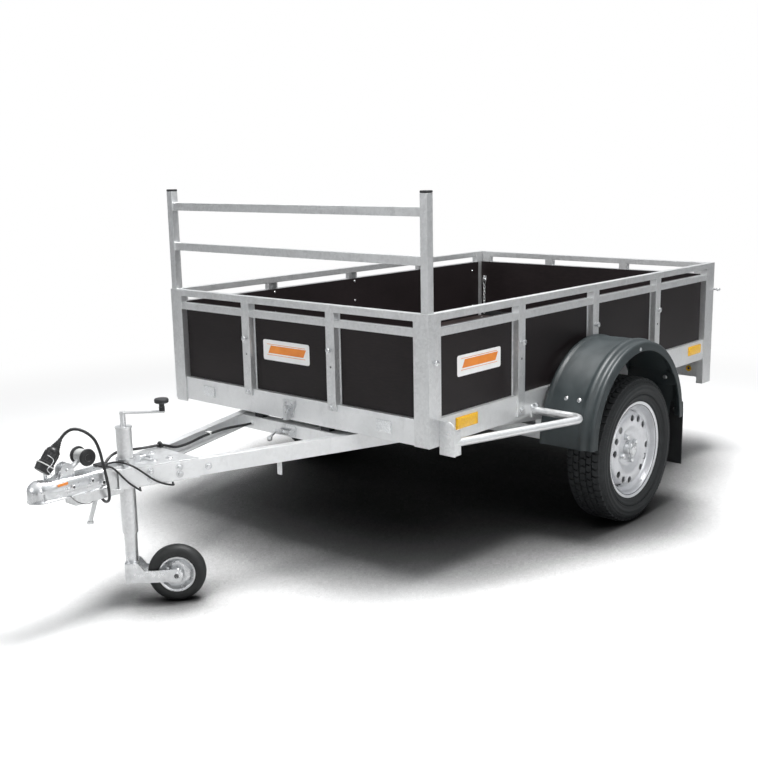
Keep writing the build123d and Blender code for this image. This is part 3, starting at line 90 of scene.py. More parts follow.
class Finish(NodeTree):
    """A material with short names for the steps that the finishes share."""

    def __init__(self, name):
        self.material = bpy.data.materials.new(name)
        self.material.use_nodes = True
        super().__init__(self.material.node_tree)
        self.shader = self.tree.nodes["Principled BSDF"]
        self.place = self.node("ShaderNodeTexCoord").outputs["Object"]

    def set(self, **values):
        for key, value in values.items():
            socket = self.shader.inputs[key.replace("_", " ")]
            socket.default_value = (*value, 1.0) if isinstance(value, tuple) else value

    def noise(self, scale, detail=3.0, roughness=0.55, stretch=None):
        texture = self.node("ShaderNodeTexNoise")
        texture.inputs["Scale"].default_value = scale
        texture.inputs["Detail"].default_value = detail
        texture.inputs["Roughness"].default_value = roughness
        self.link(self.stretched(stretch), texture.inputs["Vector"])
        return texture.outputs["Fac"]

    def cells(self, scale, output="Color"):
        """Small cells with edges, such as crystals, pebbles or prisms."""
        texture = self.node("ShaderNodeTexVoronoi")
        texture.inputs["Scale"].default_value = scale
        self.link(self.place, texture.inputs["Vector"])
        return texture.outputs[output]

    def stretched(self, stretch):
        """The object's own coordinates, scaled along each axis."""
        if stretch is None:
            return self.place
        mapping = self.node("ShaderNodeMapping")
        mapping.inputs["Scale"].default_value = stretch
        self.link(self.place, mapping.inputs["Vector"])
        return mapping.outputs["Vector"]

    def ramp(self, source, *stops):
        """A colour ramp from (position, colour) stops; a single number is a grey."""
        made = self.node("ShaderNodeValToRGB")
        while len(made.color_ramp.elements) < len(stops):
            made.color_ramp.elements.new(0.5)
        for element, (position, colour) in zip(made.color_ramp.elements, stops):
            element.position = position
            element.color = (*(grey(colour) if isinstance(colour, float) else colour), 1.0)
        self.link(source, made.inputs["Fac"])
        return made.outputs["Color"]

    def spread(self, source, low, high, out_low, out_high):
        """A value from one range stretched over another."""
        made = self.node("ShaderNodeMapRange")
        for k, value in enumerate((low, high, out_low, out_high), 1):
            made.inputs[k].default_value = value
        self.link(source, made.inputs["Value"])
        return made.outputs["Result"]

    def mixed(self, factor, first, second, blend="MIX"):
        """Two colours mixed. Each of the three may be a plain value or a node's output."""
        made = self.node("ShaderNodeMix", data_type="RGBA", blend_type=blend)
        for k, value in ((0, factor), (6, first), (7, second)):
            if isinstance(value, bpy.types.NodeSocket):
                self.link(value, made.inputs[k])
            elif isinstance(value, tuple):
                made.inputs[k].default_value = (*value, 1.0)
            else:
                made.inputs[k].default_value = value
        return made.outputs[2]

    def bump(self, height, strength, distance, below=None):
        """A fine relief, on top of another one if there is one below."""
        made = self.node("ShaderNodeBump")
        made.inputs["Strength"].default_value = strength
        made.inputs["Distance"].default_value = distance
        self.link(height, made.inputs["Height"])
        if below is not None:
            self.link(below, made.inputs["Normal"])
        return made.outputs["Normal"]

    def soft_edge(self, radius):
        """The normal of an edge rounded to a small radius."""
        made = self.node("ShaderNodeBevel", samples=6)
        made.inputs["Radius"].default_value = radius
        return made.outputs["Normal"]

    def colour(self, source):
        self.link(source, self.shader.inputs["Base Color"])

    def rough(self, source):
        self.link(source, self.shader.inputs["Roughness"])

    def normal(self, source):
        self.link(source, self.shader.inputs["Normal"])


def shaded(tint, factor, lift=0.0):
    """A tint made lighter or darker, up to white."""
    return tuple(min(1.0, factor * value + lift) for value in tint)


def grey(value):
    """A colour without a tint."""
    return (value, value, value)


def galvanised(name, bright, rough, spangle=125.0, contrast=0.06):
    """Hot-dip zinc: crystals some millimetres across under a cloudy bloom, with soft edges."""
    made = Finish(name)
    grains = made.cells(spangle)
    crystals = made.ramp(grains, (0.0, bright - contrast), (0.5, bright), (1.0, bright + contrast))
    bloom = made.spread(made.noise(7.0, 4.0, 0.6), 0.42, 0.75, 0.0, 0.7)
    stain = made.spread(made.noise(22.0, 5.0, 0.7, (1.0, 1.0, 0.45)), 0.56, 0.80, 0.0, 0.5)
    grit = made.spread(made.noise(420.0, 2.0), 0.66, 0.74, 0.0, 0.3)
    cloudy = made.mixed(bloom, crystals, grey(bright + 0.08))
    dulled = made.mixed(stain, cloudy, grey(bright - 0.2))
    specks = made.mixed(grit, dulled, grey(bright - 0.26))
    made.colour(made.mixed(1.0, specks, (0.985, 0.995, 1.0), "MULTIPLY"))
    made.rough(made.spread(grains, 0.0, 1.0, rough - 0.05, rough + 0.08))
    made.set(Metallic=0.8)
    facets = made.bump(grains, 0.06, 0.0003, made.soft_edge(0.0016))
    made.normal(made.bump(made.noise(90.0, 3.0), 0.16, 0.0009, facets))
    return made.material


def zinc_plated(name, tint=(0.78, 0.79, 0.80)):
    """Bright zinc on small fittings, a little clouded by handling."""
    made = Finish(name)
    clouds = made.noise(45.0, 4.0)
    made.colour(made.mixed(made.spread(clouds, 0.35, 0.7, 0.0, 1.0), tint, shaded(tint, 0.82)))
    made.rough(made.spread(clouds, 0.3, 0.7, 0.22, 0.4))
    made.set(Metallic=0.95)
    made.normal(made.bump(made.noise(320.0, 2.0), 0.12, 0.0004))
    return made.material


def film_ply(name, tint, sheen_rough):
    """Phenolic film on plywood: dark, slightly uneven, with the faint print of the press."""
    made = Finish(name)
    drift = made.noise(3.5, 3.0, 0.5, (1.0, 1.0, 1.8))
    fibre = made.noise(46.0, 4.0, 0.6, (1.0, 1.0, 14.0))
    base = made.mixed(made.spread(drift, 0.3, 0.7, 0.0, 1.0), tint, shaded(tint, 1.5))
    made.colour(made.mixed(made.spread(fibre, 0.45, 0.8, 0.0, 0.3), base, (0.045, 0.032, 0.031)))
    made.rough(made.spread(fibre, 0.2, 0.8, sheen_rough - 0.06, sheen_rough + 0.12))
    made.set(Specular_IOR_Level=0.24)
    made.normal(made.bump(fibre, 0.10, 0.0004, made.bump(drift, 0.05, 0.003)))
    return made.material


def rubber(name, tint, rough, grain=420.0):
    """Black rubber with dust in its fine grain."""
    made = Finish(name)
    dust = made.noise(24.0, 5.0, 0.65)
    made.colour(made.mixed(made.spread(dust, 0.45, 0.8, 0.0, 0.5), tint, shaded(tint, 2.1, 0.012)))
    made.rough(made.spread(dust, 0.3, 0.8, rough - 0.08, rough + 0.1))
    made.set(Specular_IOR_Level=0.4)
    made.normal(made.bump(made.noise(grain, 2.0), 0.18, 0.0005))
    return made.material


def moulded(name, tint, rough, grain=650.0, depth=0.0003):
    """Moulded plastic with the fine pebble of its tool."""
    made = Finish(name)
    drift = made.noise(14.0, 3.0)
    made.colour(made.mixed(made.spread(drift, 0.35, 0.75, 0.0, 1.0), tint, shaded(tint, 1.35, 0.004)))
    made.rough(made.spread(drift, 0.3, 0.8, rough - 0.06, rough + 0.08))
    made.normal(made.bump(made.cells(grain, "Distance"), 0.3, depth))
    return made.material


def silver_paint(name):
    """Metallic wheel paint under a thin lacquer, with brake and road dirt."""
    made = Finish(name)
    flake = made.noise(900.0, 1.0)
    grime = made.noise(16.0, 5.0, 0.65)
    base = made.mixed(made.spread(flake, 0.3, 0.7, 0.0, 1.0), (0.60, 0.61, 0.63), (0.80, 0.81, 0.83))
    made.colour(made.mixed(made.spread(grime, 0.5, 0.85, 0.0, 0.5), base, (0.42, 0.42, 0.43)))
    made.rough(made.spread(grime, 0.3, 0.8, 0.3, 0.48))
    made.set(Metallic=0.55, Coat_Weight=0.25, Coat_Roughness=0.2)
    made.normal(made.bump(made.noise(120.0, 3.0), 0.06, 0.0006))
    return made.material


def prism_lens(name, tint, cell=170.0):
    """A moulded reflector: small prism cells under a clear skin."""
    made = Finish(name)
    prisms = made.cells(cell, "Distance")
    made.colour(made.ramp(prisms, (0.0, shaded(tint, 1.15)), (0.7, shaded(tint, 0.86))))
    made.set(Roughness=0.16, Coat_Weight=0.6, Coat_Roughness=0.05)
    made.normal(made.bump(prisms, 0.35, 0.0012))
    return made.material


GALVANISED = galvanised("galvanised_steel", 0.76, 0.36)
GALVANISED_BEAM = galvanised("galvanised_beam", 0.84, 0.44, 90.0, 0.03)
ZINC = zinc_plated("bright_zinc")
PLY = film_ply("film_faced_ply", (0.0105, 0.0082, 0.0088), 0.32)
FLOOR_PLY = film_ply("floor_ply", (0.020, 0.015, 0.014), 0.45)
TYRE = rubber("tyre_rubber", (0.015, 0.0168, 0.0178), 0.7)
SMALL_TYRE = rubber("small_tyre_rubber", (0.016, 0.017, 0.017), 0.55)
SOFT_RUBBER = rubber("soft_rubber", (0.014, 0.015, 0.016), 0.6)
GUARD_PLASTIC = moulded("guard_plastic", (0.022, 0.029, 0.031), 0.46)
BLACK_PLASTIC = moulded("black_plastic", (0.014, 0.014, 0.015), 0.42)
GREY_PLASTIC = moulded("grey_plastic", (0.55, 0.56, 0.55), 0.45)
CABLE_SKIN = moulded("cable_sheath", (0.012, 0.012, 0.013), 0.38, 1500.0, 0.0001)
RIM_PAINT = silver_paint("wheel_paint")
AMBER = prism_lens("amber_prisms", (1.0, 0.53, 0.01))
CLEAR_LENS = prism_lens("clear_prisms", (0.82, 0.84, 0.85))
RED_LENS = prism_lens("red_prisms", (0.50, 0.015, 0.015))
LABEL_WHITE = moulded("label_white", (0.90, 0.90, 0.89), 0.4, 900.0, 0.00005)
LABEL_ORANGE = moulded("label_orange", (0.85, 0.25, 0.03), 0.4, 900.0, 0.00005)

# The finish of each solid, by its slot or its own name
SLOT_FINISH = {
    "galvanised": GALVANISED,
    "zinc_plate": ZINC,
    "film_ply": PLY,
    "tyre": TYRE,
    "wheel_silver": RIM_PAINT,
    "black_plastic": BLACK_PLASTIC,
    "grey_plastic": GREY_PLASTIC,
    "black_rubber": SOFT_RUBBER,
    "amber_lens": AMBER,
    "white_lens": CLEAR_LENS,
    "red_lens": RED_LENS,
}
NODE_FINISH = {
    "load_floor": FLOOR_PLY,
    "mudguards": GUARD_PLASTIC,
    "mudguard_skirts": GUARD_PLASTIC,
    "body_beams": GALVANISED_BEAM,
    "drawbar_arms": GALVANISED_BEAM,
    "drawbar_cross_beam": GALVANISED_BEAM,
}
for subpart in frame["record"]["subparts"]:
    finish = NODE_FINISH.get(subpart["node"], SLOT_FINISH[subpart["material_slot"]])
    data = nodes[subpart["node"]].data
    data.materials.clear()
    data.materials.append(finish)


# Meshes: builders that work in millimetres, and the pieces made with them
def placed(name, data):
    """A new object in the scene."""
    made = bpy.data.objects.new(name, data)
    bpy.context.scene.collection.objects.link(made)
    return made


def piece(name, mesh, finish, body, replaces=()):
    """A finished piece: its finish, the body that it rides on and the nodes that it stands for."""
    made = placed(name, mesh)
    mesh.materials.clear()
    mesh.materials.append(finish)
    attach(made, body)
    if replaces:
        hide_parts(*replaces)
    return made


def shaped(name, bm, sharp=32.0):
    """A mesh from what was built: closed, facing outwards and smooth between its sharp edges."""
    bmesh.ops.remove_doubles(bm, verts=bm.verts, dist=0.000004)
    bmesh.ops.dissolve_degenerate(bm, edges=bm.edges, dist=0.000004)
    bmesh.ops.recalc_face_normals(bm, faces=bm.faces)
    mesh = bpy.data.meshes.new(name)
    bm.to_mesh(mesh)
    bm.free()
    mesh.shade_smooth()
    mesh.set_sharp_from_angle(angle=math.radians(sharp))
    return mesh


def built(name, bm, finish, body, replaces=(), sharp=32.0):
    """A piece made of what was built, under its own name."""
    return piece(name, shaped(name, bm, sharp), finish, body, replaces)


def applied(made):
    """The plain mesh that an object's modifiers make. The object goes."""
    mesh = bpy.data.meshes.new_from_object(made.evaluated_get(bpy.context.evaluated_depsgraph_get()))
    bpy.data.objects.remove(made)
    return mesh


def joined(bm, first, second):
    """The faces between two closed rings of vertices."""
    faces = []
    for k in range(len(first)):
        after = (k + 1) % len(first)
        faces.append(bm.faces.new((first[k], first[after], second[after], second[k])))
    return faces


def both_sides(bm):
    """Add the mirror image of all that is built so far."""
    copied = bmesh.ops.duplicate(bm, geom=bm.verts[:] + bm.edges[:] + bm.faces[:])["geom"]
    for item in copied:
        if isinstance(item, bmesh.types.BMVert):
            item.co.x = -item.co.x


def mirrored(name, mesh):
    """The other side's copy of a finished mesh."""
    bm = bmesh.new()
    bm.from_mesh(mesh)
    for vert in bm.verts:
        vert.co.x = -vert.co.x
    return shaped(name, bm)


def turned(bm, profile, place, axis=LEFT, steps=64, sweep=360.0, lobes=0, lobe=0.0):
    """Turn closed (along, radius) points in millimetres about an axis, all or part of the way round."""
    turn = Vector(LEFT).rotation_difference(Vector(axis).normalized()).to_matrix()
    whole = sweep >= 360.0
    rings = []
    for step in range(steps if whole else steps + 1):
        angle = math.radians(sweep * step / steps)
        swell = 1.0 + lobe * max(0.0, math.cos(lobes * angle)) if lobes else 1.0
        ring = []
        for along, radius in profile:
            out = radius * swell * MM
            spot = turn @ Vector((along * MM, out * math.cos(angle), out * math.sin(angle)))
            ring.append(bm.verts.new(place + spot))
        rings.append(ring)
    if whole:
        rings.append(rings[0])
    for first, second in zip(rings, rings[1:]):
        joined(bm, first, second)
    if not whole:
        bm.faces.new(rings[0])
        bm.faces.new(rings[-1][::-1])


def round_bar(bm, start, end, radius, steps=28, chamfer=0.8):
    """A straight bar or pin with a small chamfer at each end."""
    length = (end - start).length / MM
    profile = [(0, 0), (0, radius - chamfer), (chamfer, radius)]
    profile += [(length - chamfer, radius), (length, radius - chamfer), (length, 0)]
    turned(bm, profile, start, end - start, steps)


def bent_bar(bm, places, radius, sides=12, closed=False):
    """A round bar, wire or link along a row of places."""
    count = len(places)
    rings = []
    across = None
    for k, place in enumerate(places):
        before = places[k - 1] if k or closed else place
        after = places[(k + 1) % count] if k < count - 1 or closed else place
        ahead = (after - before).normalized()
        if across is None:
            across = ahead.orthogonal()
        across = (across - ahead * across.dot(ahead)).normalized()
        up = ahead.cross(across)
        ring = []
        for side in range(sides):
            angle = math.tau * side / sides
            spot = across * math.cos(angle) + up * math.sin(angle)
            ring.append(bm.verts.new(place + spot * radius * MM))
        rings.append(ring)
    for first, second in zip(rings, rings[1:] + rings[:1] if closed else rings[1:]):
        joined(bm, first, second)
    if not closed:
        bm.faces.new(rings[0][::-1])
        bm.faces.new(rings[-1])


def eased(points, steps=6):
    """More places on a smooth line through a few chosen ones."""
    line = [points[0]] + list(points) + [points[-1]]
    places = []
    for a, b, c, d in zip(line, line[1:], line[2:], line[3:]):
        for step in range(steps):
            t = step / steps
            places.append(0.5 * (2 * b + (c - a) * t + (2 * a - 5 * b + 4 * c - d) * t * t
                                 + (3 * b - a - 3 * c + d) * t ** 3))
    places.append(points[-1])
    return places


def rounded(points, radius, steps=10):
    """A row of places with each inner corner turned into an arc of one radius."""
    places = [points[0]]
    for before, corner, after in zip(points, points[1:], points[2:]):
        back = (before - corner).normalized()
        ahead = (after - corner).normalized()
        half = back.angle(ahead) / 2
        run = radius * MM / math.tan(half)
        middle = corner + (back + ahead).normalized() * radius * MM / math.sin(half)
        start = (corner + back * run - middle).normalized()
        end = (corner + ahead * run - middle).normalized()
        for step in range(steps + 1):
            places.append(middle + start.slerp(end, step / steps) * radius * MM)
    places.append(points[-1])
    return places


def slab(bm, outline, depth, place, across, up, edge=0.0, segments=2):
    """A plate: its outline in millimetres along two directions and its depth along the third."""
    across, up = Vector(across), Vector(up)
    out = across.cross(up).normalized() * depth * MM
    low = [bm.verts.new(place + (across * u + up * v) * MM) for u, v in outline]
    high = [bm.verts.new(vert.co + out) for vert in low]
    faces = [bm.faces.new(low[::-1]), bm.faces.new(high)] + joined(bm, low, high)
    if edge:
        edges = list(dict.fromkeys(side for face in faces for side in face.edges))
        bmesh.ops.bevel(bm, geom=edges, offset=edge * MM, segments=segments, profile=0.6,
                        affect="EDGES", clamp_overlap=True)


def box(bm, x, y, z, edge=0.0, segments=2):
    """A block between pairs of sizes off the middle line, the front face and the floor."""
    outline = [(x[0], y[0]), (x[1], y[0]), (x[1], y[1]), (x[0], y[1])]
    slab(bm, outline, z[1] - z[0], at(0, 0, z[0]), LEFT, BACKWARD, edge, segments)


def arc(u, v, radius, start, end, steps=8):
    """Points on a circle about (u, v), for an outline."""
    points = []
    for step in range(steps + 1):
        angle = math.radians(start + (end - start) * step / steps)
        points.append((u + radius * math.cos(angle), v + radius * math.sin(angle)))
    return points


def offset(points, u=0.0, v=0.0):
    """An outline's points moved along."""
    return [(u + du, v + dv) for du, dv in points]


def doubled(profile):
    """A profile and its mirror image, as one closed outline."""
    return profile + [(-along, radius) for along, radius in reversed(profile)]


def coil(start, run, first, second, radius, turns, steps):
    """Places that wind round a run from a start, between two directions across it."""
    places = []
    for k in range(turns * steps + 1):
        angle = math.tau * k / steps
        spot = Vector(first) * math.cos(angle) + Vector(second) * math.sin(angle)
        places.append(start + (Vector(run) * k / (turns * steps) + spot * radius) * MM)
    return places


def drilled(name, mesh, holes):
    """One clean closed mesh less round holes given as (start, end, radius)."""
    bm = bmesh.new()
    for start, end, radius in holes:
        round_bar(bm, start, end, radius, 28, 0.01)
    cutter = placed("cutter", shaped("cutter", bm))
    blank = placed("blank", mesh)
    cut = blank.modifiers.new("holes", "BOOLEAN")
    cut.object = cutter
    cut.operation = "DIFFERENCE"
    cut.solver = "EXACT"
    result = applied(blank)
    bpy.data.objects.remove(cutter)
    bm = bmesh.new()
    bm.from_mesh(result)
    return shaped(name, bm, 40)


# Geometry Nodes: one tree repeats a piece round an axle line, one sets a piece at chosen places
class PieceTree(NodeTree):
    """A Geometry Nodes tree with named inputs."""

    def __init__(self, name, *inputs):
        super().__init__(bpy.data.node_groups.new(name, "GeometryNodeTree"))
        for label, kind in inputs:
            self.tree.interface.new_socket(label, in_out="INPUT", socket_type="NodeSocket" + kind)
        self.tree.interface.new_socket("Geometry", in_out="OUTPUT", socket_type="NodeSocketGeometry")
        self.given = self.node("NodeGroupInput").outputs

    def finish(self, instances):
        """Realize the instances, give them the finish and end the tree."""
        real = self.node("GeometryNodeRealizeInstances")
        self.link(instances, real.inputs["Geometry"])
        coated = self.node("GeometryNodeSetMaterial")
        self.link(real.outputs["Geometry"], coated.inputs["Geometry"])
        self.link(self.given["Finish"], coated.inputs["Material"])
        self.link(coated.outputs["Geometry"], self.node("NodeGroupOutput").inputs["Geometry"])
        return self.tree


def round_axle_tree():
    """The given mesh, repeated evenly round a line across the trailer."""
    tree = PieceTree("repeat_round_axle", ("Geometry", "Geometry"), ("Count", "Int"),
                     ("Centre", "Vector"), ("Finish", "Material"))
    points = tree.node("GeometryNodePoints")
    tree.link(tree.given["Count"], points.inputs["Count"])
    step = tree.node("ShaderNodeMath", operation="DIVIDE")
    step.inputs[0].default_value = math.tau
    tree.link(tree.given["Count"], step.inputs[1])
    angle = tree.node("ShaderNodeMath", operation="MULTIPLY")
    tree.link(tree.node("GeometryNodeInputIndex").outputs[0], angle.inputs[0])
    tree.link(step.outputs[0], angle.inputs[1])
    turn = tree.node("ShaderNodeCombineXYZ")
    tree.link(angle.outputs[0], turn.inputs["X"])
    copies = tree.node("GeometryNodeInstanceOnPoints")
    tree.link(points.outputs[0], copies.inputs["Points"])
    tree.link(tree.given["Geometry"], copies.inputs["Instance"])
    tree.link(turn.outputs[0], copies.inputs["Rotation"])
    moved = tree.node("GeometryNodeTransform")
    tree.link(copies.outputs[0], moved.inputs["Geometry"])
    tree.link(tree.given["Centre"], moved.inputs["Translation"])
    return tree.finish(moved.outputs[0])


def set_places_tree():
    """The given piece at every point of a mesh, turned as the point says."""
    tree = PieceTree("set_at_places", ("Geometry", "Geometry"), ("Piece", "Object"), ("Finish", "Material"))
    piece_in = tree.node("GeometryNodeObjectInfo")
    tree.link(tree.given["Piece"], piece_in.inputs["Object"])
    turn = tree.node("GeometryNodeInputNamedAttribute", data_type="FLOAT_VECTOR")
    turn.inputs["Name"].default_value = "turn"
    copies = tree.node("GeometryNodeInstanceOnPoints")
    tree.link(tree.given["Geometry"], copies.inputs["Points"])
    tree.link(piece_in.outputs["Geometry"], copies.inputs["Instance"])
    tree.link(turn.outputs[0], copies.inputs["Rotation"])
    return tree.finish(copies.outputs[0])


ROUND_AXLE = round_axle_tree()
SET_PLACES = set_places_tree()


def grown(mesh, tree, **sizes):
    """The plain mesh that a tree makes from a mesh and its named inputs."""
    made = placed("seed", mesh)
    modifier = made.modifiers.new("tree", "NODES")
    modifier.node_group = tree
    for item in tree.interface.items_tree:
        if item.in_out == "INPUT" and item.name in sizes:
            modifier[item.identifier] = sizes[item.name]
    made.update_tag()
    return applied(made)


def set_out(name, part, places, finish, body, replaces=()):
    """Copies of one small part, each at a place and facing a direction, as one piece."""
    spots = bpy.data.meshes.new("spots")
    spots.from_pydata([tuple(place) for place, _ in places], [], [])
    turns = spots.attributes.new("turn", "FLOAT_VECTOR", "POINT")
    for entry, (_, facing) in zip(turns.data, places):
        entry.vector = Vector(UP).rotation_difference(Vector(facing)).to_euler()
    source = placed("source", part)
    mesh = grown(spots, SET_PLACES, Piece=source, Finish=finish)
    bpy.data.objects.remove(source)
    return piece(name, mesh, finish, body, replaces)


def turning(name, profile, steps, sharp=32.0):
    """A small turned part, standing up from the origin."""
    bm = bmesh.new()
    turned(bm, profile, Vector(), UP, steps)
    return shaped(name, bm, sharp)


def hex_bolt(across=13.0, head=5.0, washer=12.0):
    """A washer, a six-sided head and the domed top of the head, standing up from the origin."""
    bm = bmesh.new()
    turned(bm, [(0, 0), (0, washer), (1.4, washer), (1.8, washer - 0.6), (1.8, 0)], Vector(), UP, 24)
    corner = across / math.sqrt(3)
    outline = [(1.6, 0), (1.6, corner), (head + 0.8, corner), (head + 1.6, corner * 0.82), (head + 1.9, 0)]
    turned(bm, outline, Vector(), UP, 6)
    return shaped("hex_bolt", bm)


def dome_head(radius, height):
    """The low round head of a coach bolt or rivet."""
    rise = [math.radians(15 * k) for k in range(7)]
    outline = [(0, 0)] + [(height * math.sin(t), radius * math.cos(t)) for t in rise]
    return turning("dome_head", outline, 20, 60)


# Cords: the routes of the three cables, in millimetres like the frame's source
MAIN_CABLE = (
    (-10, -900.7, 570.9),
    (-10, -885.3, 589.3),
    (8, -856, 600),
    (36, -822, 572),
    (50, -812, 534),
    (53, -806, 492),
    (54, -798, 450),
    (52, -790, 406),
    (40, -782, 364),
    (0, -774, 348),
    (-38, -764, 362),
    (-54, -750, 404),
    (-64, -726, 446),
    (-80, -684, 468),
    (-96, -624, 464),
    (-98, -572, 457),
    (-88, -532, 457),
    (-84, -492, 457),
    (-82, -452, 440),
    (-96, -412, 430),
    (-124, -340, 426),
    (-150, -266, 429),
    (-176, -196, 424),
    (-196, -130, 421),
    (-206, -76, 416),
    (-198, -34, 415),
    (-198, -8, 415),
)
LEFT_CABLE_UPPER = (
    (-14, -756, 461.5),
    (-14, -744, 461.5),
    (2, -728, 466),
    (34, -718, 466),
    (58, -698, 453),
    (71, -670, 426),
    (80, -642, 400),
    (89, -614, 385),
    (93, -588, 376),
    (79, -572, 371),
    (64, -566, 371),
    (64, -566, 384.7),
)
LEFT_CABLE_LOWER = (
    (4, -770, 461.5),
    (14, -770, 461.5),
    (34, -764, 464),
    (45, -750, 446),
    (50, -734, 424),
    (56, -716, 402),
    (62, -696, 385),
    (58, -680, 373),
    (40, -672, 371),
    (40, -672, 384.7),
)


def cable(name, route, diameter):
    """A cord along its route, on the chassis, in place of its solid."""
    curve = bpy.data.curves.new(name, "CURVE")
    curve.dimensions = "3D"
    curve.bevel_depth = diameter / 2
    curve.bevel_resolution = 5
    curve.resolution_u = 12
    curve.use_fill_caps = True
    spline = curve.splines.new("NURBS")
    spline.points.add(len(route) - 1)
    for point, place in zip(spline.points, route):
        point.co = (*at(*place), 1.0)
    spline.order_u = 3
    spline.use_endpoint_u = True
    curve.materials.append(CABLE_SKIN)
    made = placed(name, curve)
    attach(made, "chassis")
    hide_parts(name.replace("_sheath", ""))
    return made


def span(node):
    """A node's box in millimetres off the middle line, the body's front face and the floor."""
    low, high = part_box(node)
    along = ((low.y - FRONT) / MM, (high.y - FRONT) / MM)
    return (low.x / MM, high.x / MM), along, (low.z / MM, high.z / MM)


def middle(pair):
    """The number halfway between two."""
    return (pair[0] + pair[1]) / 2


# Road wheels, made on the left and mirrored for the right
wheel_x, wheel_y, wheel_z = span("road_tyre_left")
WHEEL = at(middle(wheel_x), middle(wheel_y), middle(wheel_z))
TYRE_R = (wheel_z[1] - wheel_z[0]) / 2
TYRE_HALF = (wheel_x[1] - wheel_x[0]) / 2
TREAD_DEPTH = 7.5
TREAD_PITCHES = 60
TREAD_ROWS = ((-52, 24, 0.0), (-26, 20, 0.5), (0, 22, 0.0), (26, 20, 0.5), (52, 24, 0.0))
TREAD_LEVELS = ((TYRE_R - TREAD_DEPTH - 2, 1.06), (TYRE_R - 1, 0.98), (TYRE_R, 0.9))
BLOCK_L, CHEVRON = 24, 5
SHOULDER_X, SHOULDER_RUN, SHOULDER_FALL = 50, 14, 5
RIB_COUNT, RIB_HALF, BAND_HALF, BAND_PITCH = 120, 1.5, 0.4, 3
RIM_LIP_R, BARREL_T = 182, 4
DISC_OUT, DISC_T = 30, 5
BOLT_RING_R, BOLT_HOLE_R = 50, 6.5
VENT_RING_R, VENT_R, VENT_TURN = 118, 12.5, 65
CRESCENT_RING_R, CRESCENT_R = 166, 30
QUARTER = 90
BOLT_ANGLES = [VENT_TURN + QUARTER * (k + 0.5) for k in range(4)]
ROUND_STEPS = 112


def tyre_carcass():
    """The hollow tyre without its tread: beads, moulded sidewalls, shoulders and a plain crown."""
    side = offset([(58, -12), (59, 1), (62, 4), (65.5, 7), (66, 11)], 0, RIM_LIP_R)
    side += [(69.4, 201.4), (70.8, 202.2), (71.2, 204.4), (70.6, 205.4), (73.4, 215), (74.4, 215.6)]
    side += [(74.8, 217.6), (74.2, 218.4), (76.6, 227.6), (TYRE_HALF, 229), (TYRE_HALF, 234)]
    side += [(76.6, 235.4), (76.2, 242.6)]
    side += offset([(-0.8, 243.6), (-1.6, 247), (-3, 248), (-4.5, 252.5), (-7, 256)], TYRE_HALF)
    side += offset([(-12, -3), (-19, 0)], TYRE_HALF, TYRE_R - TREAD_DEPTH)
    bm = bmesh.new()
    turned(bm, doubled(side), WHEEL, steps=ROUND_STEPS)
    return shaped("tyre_carcass", bm, 40)


def tread_pitch():
    """One step of the tread at the top of the wheel: chevron blocks in five rows, about the origin."""
    bm = bmesh.new()
    for middle_x, width, lead in TREAD_ROWS:
        half = width / 2
        chevron = CHEVRON if middle_x else -CHEVRON
        outline = [(-half, -BLOCK_L / 2), (0, -BLOCK_L / 2 + chevron), (half, -BLOCK_L / 2)]
        outline += [(half, BLOCK_L / 2), (0, BLOCK_L / 2 + chevron), (-half, BLOCK_L / 2)]
        rings = []
        for radius, scale in TREAD_LEVELS:
            ring = []
            for across, along in outline:
                x = middle_x + across * scale
                reach = radius - SHOULDER_FALL * max(0.0, (abs(x) - SHOULDER_X) / SHOULDER_RUN) ** 2
                angle = along * scale / TYRE_R + lead * math.tau / TREAD_PITCHES
                spot = Vector((x, -reach * math.sin(angle), reach * math.cos(angle)))
                ring.append(bm.verts.new(spot * MM))
            rings.append(ring)
        for low, high in zip(rings, rings[1:]):
            joined(bm, low, high)
        bm.faces.new(rings[-1])
        bm.faces.new(rings[0][::-1])
    return shaped("tread_pitch", bm)


def shoulder_rib():
    """A rib of the shoulder and three of the fine ribs lower down, on both sides, about the origin."""
    rib = [(70.5, 252), (73.6, 251.4), (72.4, 257.4), (69.4, 260)]
    band = [(72.2, 207.2), (73.4, 208), (74.0, 211.4), (73.2, 212.4)]
    strips = [(rib, 0, RIB_HALF)] + [(band, BAND_PITCH * k, BAND_HALF) for k in (-1, 0, 1)]
    bm = bmesh.new()
    for side in (-1, 1):
        for outline, y, half in strips:
            low = [bm.verts.new(Vector((side * x, y - half, z)) * MM) for x, z in outline]
            high = [bm.verts.new(Vector((side * x, y + half, z)) * MM) for x, z in outline]
            bm.faces.new(low)
            bm.faces.new(high[::-1])
            joined(bm, low, high)
    return shaped("shoulder_rib", bm)


def on_wheel(out, radius, angle):
    """A place on the left wheel: how far out, how far from the axle line and how far round."""
    turn = math.radians(angle)
    return WHEEL + Vector((out, radius * math.cos(turn), radius * math.sin(turn))) * MM


